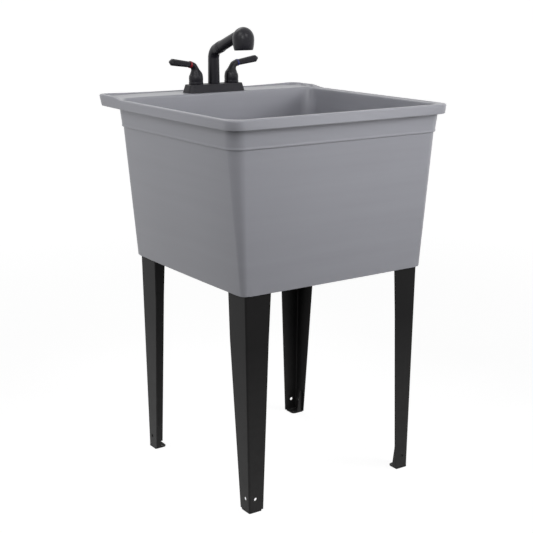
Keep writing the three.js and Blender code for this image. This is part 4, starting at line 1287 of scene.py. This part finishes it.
def build_spout():
    outer = spout_path((14.5, 13.8, 14.3), DOCK - 0.6)
    lip = spout_path((13.7, 13.7, 13.7), DOCK)[-1:]
    mouth = spout_path((12.5, 12.5, 12.5), DOCK)[-1:]
    inner = spout_path((12, 12, 12), DOCK - 0.6)[::-1]
    rings = np.concatenate((outer, lip, mouth, inner))
    shell = band(rings, wrap=True)
    make_piece("riser_elbow", [shell], tap_finish(), "spout", ["spout_riser"])


# ----------------------------------------------------------------------- wand
def head_profile():
    """The spray head's outline: a bell below its widest ring and half an ellipse above."""
    rise = np.linspace(0, 1, 12)[1:]
    height = HEAD_WIDEST * rise
    radius = HEAD_RADIUS - 3.6 * (1 - rise) ** 2
    angle = np.linspace(0, math.pi / 2, 16)[1:]
    bell = np.stack((radius, height), -1)
    dome = np.stack((HEAD_RADIUS * np.cos(angle), HEAD_WIDEST + HEAD_DOME * np.sin(angle)), -1)
    dome[-1, 0] = 0
    return bell, dome


def build_wand():
    lie, root = arm_frame()
    seam = DOCK + 0.5
    grip = [
        (11.2, seam - 14),
        (11.5, seam),
        (14.3, seam + 0.2),
        (14.3, seam + 3),
        (13.6, seam + 3.6),
        (13.6, seam + 4.6),
        (14.3, seam + 5.2),
        (14.3, seam + 8.2),
        (13.6, seam + 8.8),
        (13.6, seam + 9.8),
        (13.3, seam + 10.4),
        (12.6, 111),
        (12.1, 111.7),
        (7.2, 111.7),
        (7.2, seam - 14),
    ]
    reach = (0.5, 0.5, 0.3, 0.3, 0.3, 0.3, 0.3, 0.3, 0.3, 0.3, 0.3, 0.4, 0.3, 0.5, 0.5)
    shell = placed(turned_ring(grip, reach, 72), lie, root)
    make_piece("wand_grip", [shell], tap_finish(), "wand", ["wand_sleeve"])
    bell, dome = head_profile()
    chamber = [(19.6, 0.2), (19.6, 11), (14.6, 14), (0.5, 14)]
    outside = np.vstack(([(20.2, 0), (21.6, 0), (22.25, 0.7)], bell, dome[:-1]))
    inside = np.array(chamber[::-1])
    rings = turned_rings(np.vstack((inside, outside)), 96)
    head = band(rings, start=(0, 0, 14), end=(0, 0, HEAD_WIDEST + HEAD_DOME))
    neck = turned(
        [(0, 112), (12.1, 112), (12.6, 112.8), (12.4, 131), (0, 136)],
        (0.3, 0.3, 0.4, 2, 0.3),
        72,
    )
    at_head = (0, TAP_Y - HEAD_REACH, HEAD_BOTTOM)
    c, s = math.cos(HEAD_TILT), math.sin(HEAD_TILT)
    lean = np.array([[1, 0, 0], [0, c, s], [0, -s, c]])
    shells = [placed(head, lean, at_head), placed(neck, lie, root)]
    make_piece("spray_bell", shells, tap_finish(), "wand", ["spray_head"])


# ---------------------------------------------------- pieces kept from the CAD
def build_fixings():
    """Gives every CAD node that still shows its finish."""
    finishes = {
        "zinc_plate": [f"leg_screw_{name}" for name in CORNERS]
        + ["hot_set_screw", "cold_set_screw", "spout_set_screw"]
        + ["hot_mounting_washer", "cold_mounting_washer"],
        "raw_brass": ["hose_connector"]
        + [f"{side}_{part}" for side in SIDES for part in ("stem", "mounting_nut")],
        "white_nylon": ["drain_friction_washer", "drain_locknut", "spout_bushing"]
        + ["hot_cartridge", "cold_cartridge"],
        "matte_black_tap": ["tap_body", "hot_bonnet_nut", "cold_bonnet_nut"],
        "black_rubber": ["drain_gasket", "tap_gasket", "spout_o_ring"],
        "spray_plate_black": ["spray_face"],
        "nozzle_rubber": ["nozzle_pad"],
    }
    for label, names in finishes.items():
        material = tap_finish() if label == "matte_black_tap" else plain_finish(label)
        for name in names:
            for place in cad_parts[name].material_slots:
                place.material = material


# ---------------------------------------------------------------------- stage
PAPER_COLOUR = (0.3, 0.3, 0.3, 1)
GLOW_NEAR = 0.9  # strength of the glow under the sink
GLOW_SPREAD = 3.0  # metres from the middle at which the glow alone is white


def white_for_camera(material):
    """Shows a floor as plain white to the camera and in gloss, with its shadow kept.

    Near the middle a part of the white is light that the floor scatters, so a shadow
    shows there.
    """
    tree = Tree(material.node_tree)
    nodes = material.node_tree.nodes
    output = nodes["Material Output"]
    nodes.remove(nodes["Principled BSDF"])
    away = tree.add("ShaderNodeVectorMath", {0: tree.place()}, operation="LENGTH")
    strength = tree.ramp(away.outputs["Value"], GLOW_SPREAD / 3, GLOW_SPREAD, GLOW_NEAR, 1.0)
    matte = tree.add("ShaderNodeBsdfDiffuse", {"Color": PAPER_COLOUR})
    glow = tree.add("ShaderNodeEmission", {"Color": (1, 1, 1, 1), "Strength": strength})
    both = tree.add("ShaderNodeAddShader")
    tree.put(both.inputs[0], matte.outputs[0])
    tree.put(both.inputs[1], glow.outputs[0])
    mix = tree.add("ShaderNodeMixShader", {0: seen_directly(tree)})
    tree.put(mix.inputs[1], matte.outputs[0])
    tree.put(mix.inputs[2], both.outputs[0])
    tree.put(output.inputs["Surface"], mix.outputs[0])


def seen_directly(tree):
    """1 for rays from the camera, off gloss or through glass, and 0 for diffuse rays."""
    path = tree.add("ShaderNodeLightPath").outputs
    seen = tree.math("MAXIMUM", path["Is Camera Ray"], path["Is Glossy Ray"])
    return tree.math("MAXIMUM", seen, path["Is Transmission Ray"])


CAMERA_LENS = 75.99
CAMERA_AZIMUTH = math.radians(-34.0136)
CAMERA_ELEVATION = math.radians(14.2684)
CAMERA_PLACE = (-1.46104, -2.1604, 1.13749)
# Each soft box: azimuth in degrees, distance, height, width, tall, power.
SOFTBOXES = {
    "key_box": (136, 2.4, 1.7, 0.8, 1.0, 4.2),
    "front_box": (95, 2.0, 2.4, 0.8, 1.0, 1.7),
    "left_box": (5, 2.4, 1.7, 0.8, 1.2, 0.3),
    "left_strip": (-30, 2.4, 0.95, 0.6, 0.9, 2.2),
    "right_strip": (117, 2.4, 0.95, 0.8, 0.9, 2.4),
    "camera_box": (50, 2.4, 1.9, 0.8, 1.0, 2.2),
    "top_left_box": (10, 1.9, 2.9, 1.6, 1.4, 3.5),
    "top_back_box": (-90, 1.9, 2.9, 1.8, 1.4, 3.1),
}
# These would glare on the deck at a low angle, so gloss doesn't show them.
HIDDEN_BOXES = ("key_box", "left_strip", "right_strip")
LAMP_SPREAD = math.radians(70)
LAMP_AIM = (0, 0, 0.95)


def build_stage():
    values = settings().stage
    floor = bpy.data.meshes.new("studio_floor")
    size = values.floor_size
    corners = [(-size, -size, 0), (size, -size, 0), (size, size, 0), (-size, size, 0)]
    floor.from_pydata(corners, [], [(0, 1, 2, 3)])
    floor_object = bpy.data.objects.new("studio_floor", floor)
    bpy.context.scene.collection.objects.link(floor_object)
    paper = bpy.data.materials.new("studio_paper")
    paper.use_nodes = True
    white_for_camera(paper)
    floor.materials.append(paper)

    scene = bpy.context.scene
    world = bpy.data.worlds.new("studio_surround")
    scene.world = world
    world.use_nodes = True
    tree = Tree(world.node_tree)
    background = world.node_tree.nodes["Background"]
    shade = tree.blend(seen_directly(tree), (*values.surround_colour, 1), (1, 1, 1, 1))
    tree.put(background.inputs["Color"], shade)

    for name, (*place, power) in SOFTBOXES.items():
        add_softbox(name, *place, power * values.light_share)

    camera_data = bpy.data.cameras.new("photo_camera")
    camera_data.sensor_width = 36
    camera_data.lens = CAMERA_LENS
    camera_data.clip_end = 100
    camera = bpy.data.objects.new("photo_camera", camera_data)
    scene.collection.objects.link(camera)
    level = math.cos(CAMERA_ELEVATION)
    side, ahead = math.sin(CAMERA_AZIMUTH) * level, -math.cos(CAMERA_AZIMUTH) * level
    back = Vector((side, ahead, math.sin(CAMERA_ELEVATION)))
    camera.location = CAMERA_PLACE
    camera.rotation_mode = "QUATERNION"
    camera.rotation_quaternion = (-back).to_track_quat("-Z", "Y")
    scene.camera = camera
    scene.view_settings.view_transform = "Standard"


def add_softbox(name, azimuth, distance, height, width, tall, power):
    """A rectangular lamp that looks at the sink's rim.

    The azimuth is in degrees from -X towards -Y.
    """
    angle = math.radians(azimuth)
    place = Vector((-math.cos(angle) * distance, -math.sin(angle) * distance, height))
    lamp = bpy.data.lights.new(name, "AREA")
    lamp.shape = "RECTANGLE"
    lamp.size, lamp.size_y = width, tall
    lamp.spread = LAMP_SPREAD
    lamp.energy = power
    holder = bpy.data.objects.new(name, lamp)
    bpy.context.scene.collection.objects.link(holder)
    holder.visible_camera = False
    holder.visible_glossy = name not in HIDDEN_BOXES
    holder.location = place
    holder.rotation_mode = "QUATERNION"
    aim = Vector(LAMP_AIM) - place
    holder.rotation_quaternion = aim.to_track_quat("-Z", "Y")


# --------------------------------------------------------------------- add-on
def colour_property(name, description, default):
    return FloatVectorProperty(
        name=name, description=description, default=default, subtype="COLOR", min=0, max=1
    )


class LaundrySinkTub(bpy.types.PropertyGroup):
    """The tub's finish."""

    plastic_colour: colour_property("Plastic", "Colour of the moulded tub", (0.31, 0.313, 0.347))


class LaundrySinkLegs(bpy.types.PropertyGroup):
    """The legs' and feet's finish."""

    paint_colour: colour_property(
        "Leg paint", "Colour of the painted legs and feet", (0.007, 0.0067, 0.0069)
    )


class LaundrySinkDrain(bpy.types.PropertyGroup):
    """The strainer's finish."""

    steel_colour: colour_property(
        "Strainer steel", "Colour of the strainer's bright steel", (0.62, 0.62, 0.63)
    )


class LaundrySinkTap(bpy.types.PropertyGroup):
    """The tap's finishes."""

    body_colour: colour_property("Tap", "Colour of the tap's black", (0.013, 0.0125, 0.0165))
    hot_colour: colour_property("Hot mark", "Colour of the hot ring", (0.2, 0.006, 0.014))
    cold_colour: colour_property("Cold mark", "Colour of the cold ring", (0.018, 0.02, 0.13))


class LaundrySinkStage(bpy.types.PropertyGroup):
    """Floor and light."""

    floor_size: FloatProperty(
        name="Floor", description="Half the floor's side", default=60.0, min=1.0, unit="LENGTH"
    )
    surround_colour: colour_property("Surround", "Light from all round", (0.03, 0.03, 0.03))
    light_share: FloatProperty(
        name="Light", description="Strength of all soft boxes", default=1.0, min=0, subtype="FACTOR"
    )


class LaundrySinkSettings(bpy.types.PropertyGroup):
    """All the sink's values."""

    tub: PointerProperty(type=LaundrySinkTub)
    legs: PointerProperty(type=LaundrySinkLegs)
    drain: PointerProperty(type=LaundrySinkDrain)
    tap: PointerProperty(type=LaundrySinkTap)
    stage: PointerProperty(type=LaundrySinkStage)


class SinkTubOperator(bpy.types.Operator):
    """Make the moulded tub"""

    bl_idname = "laundry_sink.tub"
    bl_label = "Make the tub"

    def execute(self, context):
        build_tub()
        return {"FINISHED"}


class SinkLegsOperator(bpy.types.Operator):
    """Make the four angle legs"""

    bl_idname = "laundry_sink.legs"
    bl_label = "Make the legs"

    def execute(self, context):
        build_legs()
        return {"FINISHED"}


class SinkFeetOperator(bpy.types.Operator):
    """Make the four bent feet"""

    bl_idname = "laundry_sink.feet"
    bl_label = "Make the feet"

    def execute(self, context):
        build_feet()
        return {"FINISHED"}


class SinkDrainOperator(bpy.types.Operator):
    """Make the strainer and its stopper"""

    bl_idname = "laundry_sink.drain"
    bl_label = "Make the drain"

    def execute(self, context):
        build_drain()
        return {"FINISHED"}


class SinkCoverOperator(bpy.types.Operator):
    """Make the tap's cover"""

    bl_idname = "laundry_sink.tap_cover"
    bl_label = "Make the tap cover"

    def execute(self, context):
        build_tap_cover()
        return {"FINISHED"}


class SinkHandlesOperator(bpy.types.Operator):
    """Make the two handles with their rings and levers"""

    bl_idname = "laundry_sink.handles"
    bl_label = "Make the handles"

    def execute(self, context):
        build_handles()
        return {"FINISHED"}


class SinkSpoutOperator(bpy.types.Operator):
    """Make the riser with its elbow"""

    bl_idname = "laundry_sink.spout"
    bl_label = "Make the spout"

    def execute(self, context):
        build_spout()
        return {"FINISHED"}


class SinkWandOperator(bpy.types.Operator):
    """Make the pull-out wand"""

    bl_idname = "laundry_sink.wand"
    bl_label = "Make the wand"

    def execute(self, context):
        build_wand()
        return {"FINISHED"}


class SinkFixingsOperator(bpy.types.Operator):
    """Finish the fixings and inner pieces"""

    bl_idname = "laundry_sink.fixings"
    bl_label = "Finish the fixings"

    def execute(self, context):
        build_fixings()
        return {"FINISHED"}


class SinkStageOperator(bpy.types.Operator):
    """Make the floor, lights and camera"""

    bl_idname = "laundry_sink.stage"
    bl_label = "Make the stage"

    def execute(self, context):
        build_stage()
        return {"FINISHED"}


OPERATORS = (
    SinkStageOperator,
    SinkTubOperator,
    SinkLegsOperator,
    SinkFeetOperator,
    SinkDrainOperator,
    SinkCoverOperator,
    SinkHandlesOperator,
    SinkSpoutOperator,
    SinkWandOperator,
    SinkFixingsOperator,
)


class SinkPanel(bpy.types.Panel):
    """Lists the sink's values and the operators that make its pieces."""

    bl_idname = "VIEW3D_PT_laundry_sink"
    bl_label = "Laundry sink"
    bl_space_type = "VIEW_3D"
    bl_region_type = "UI"
    bl_category = "Laundry sink"

    def draw(self, context):
        values = context.scene.laundry_sink
        for group in (values.tub, values.legs, values.drain, values.tap, values.stage):
            box = self.layout.box()
            for name in group.__annotations__:
                box.prop(group, name)
        for operator in OPERATORS:
            self.layout.operator(operator.bl_idname)


CLASSES = (
    LaundrySinkTub,
    LaundrySinkLegs,
    LaundrySinkDrain,
    LaundrySinkTap,
    LaundrySinkStage,
    LaundrySinkSettings,
    *OPERATORS,
    SinkPanel,
)


def register():
    for part in CLASSES:
        bpy.utils.register_class(part)
    bpy.types.Scene.laundry_sink = PointerProperty(type=LaundrySinkSettings)


def unregister():
    del bpy.types.Scene.laundry_sink
    for part in reversed(CLASSES):
        bpy.utils.unregister_class(part)


def main():
    """Makes the whole sink."""
    register()
    for operator in OPERATORS:
        family, name = operator.bl_idname.split(".")
        getattr(getattr(bpy.ops, family), name)()
    bpy.context.view_layer.update()


if __name__ == "__main__":
    main()
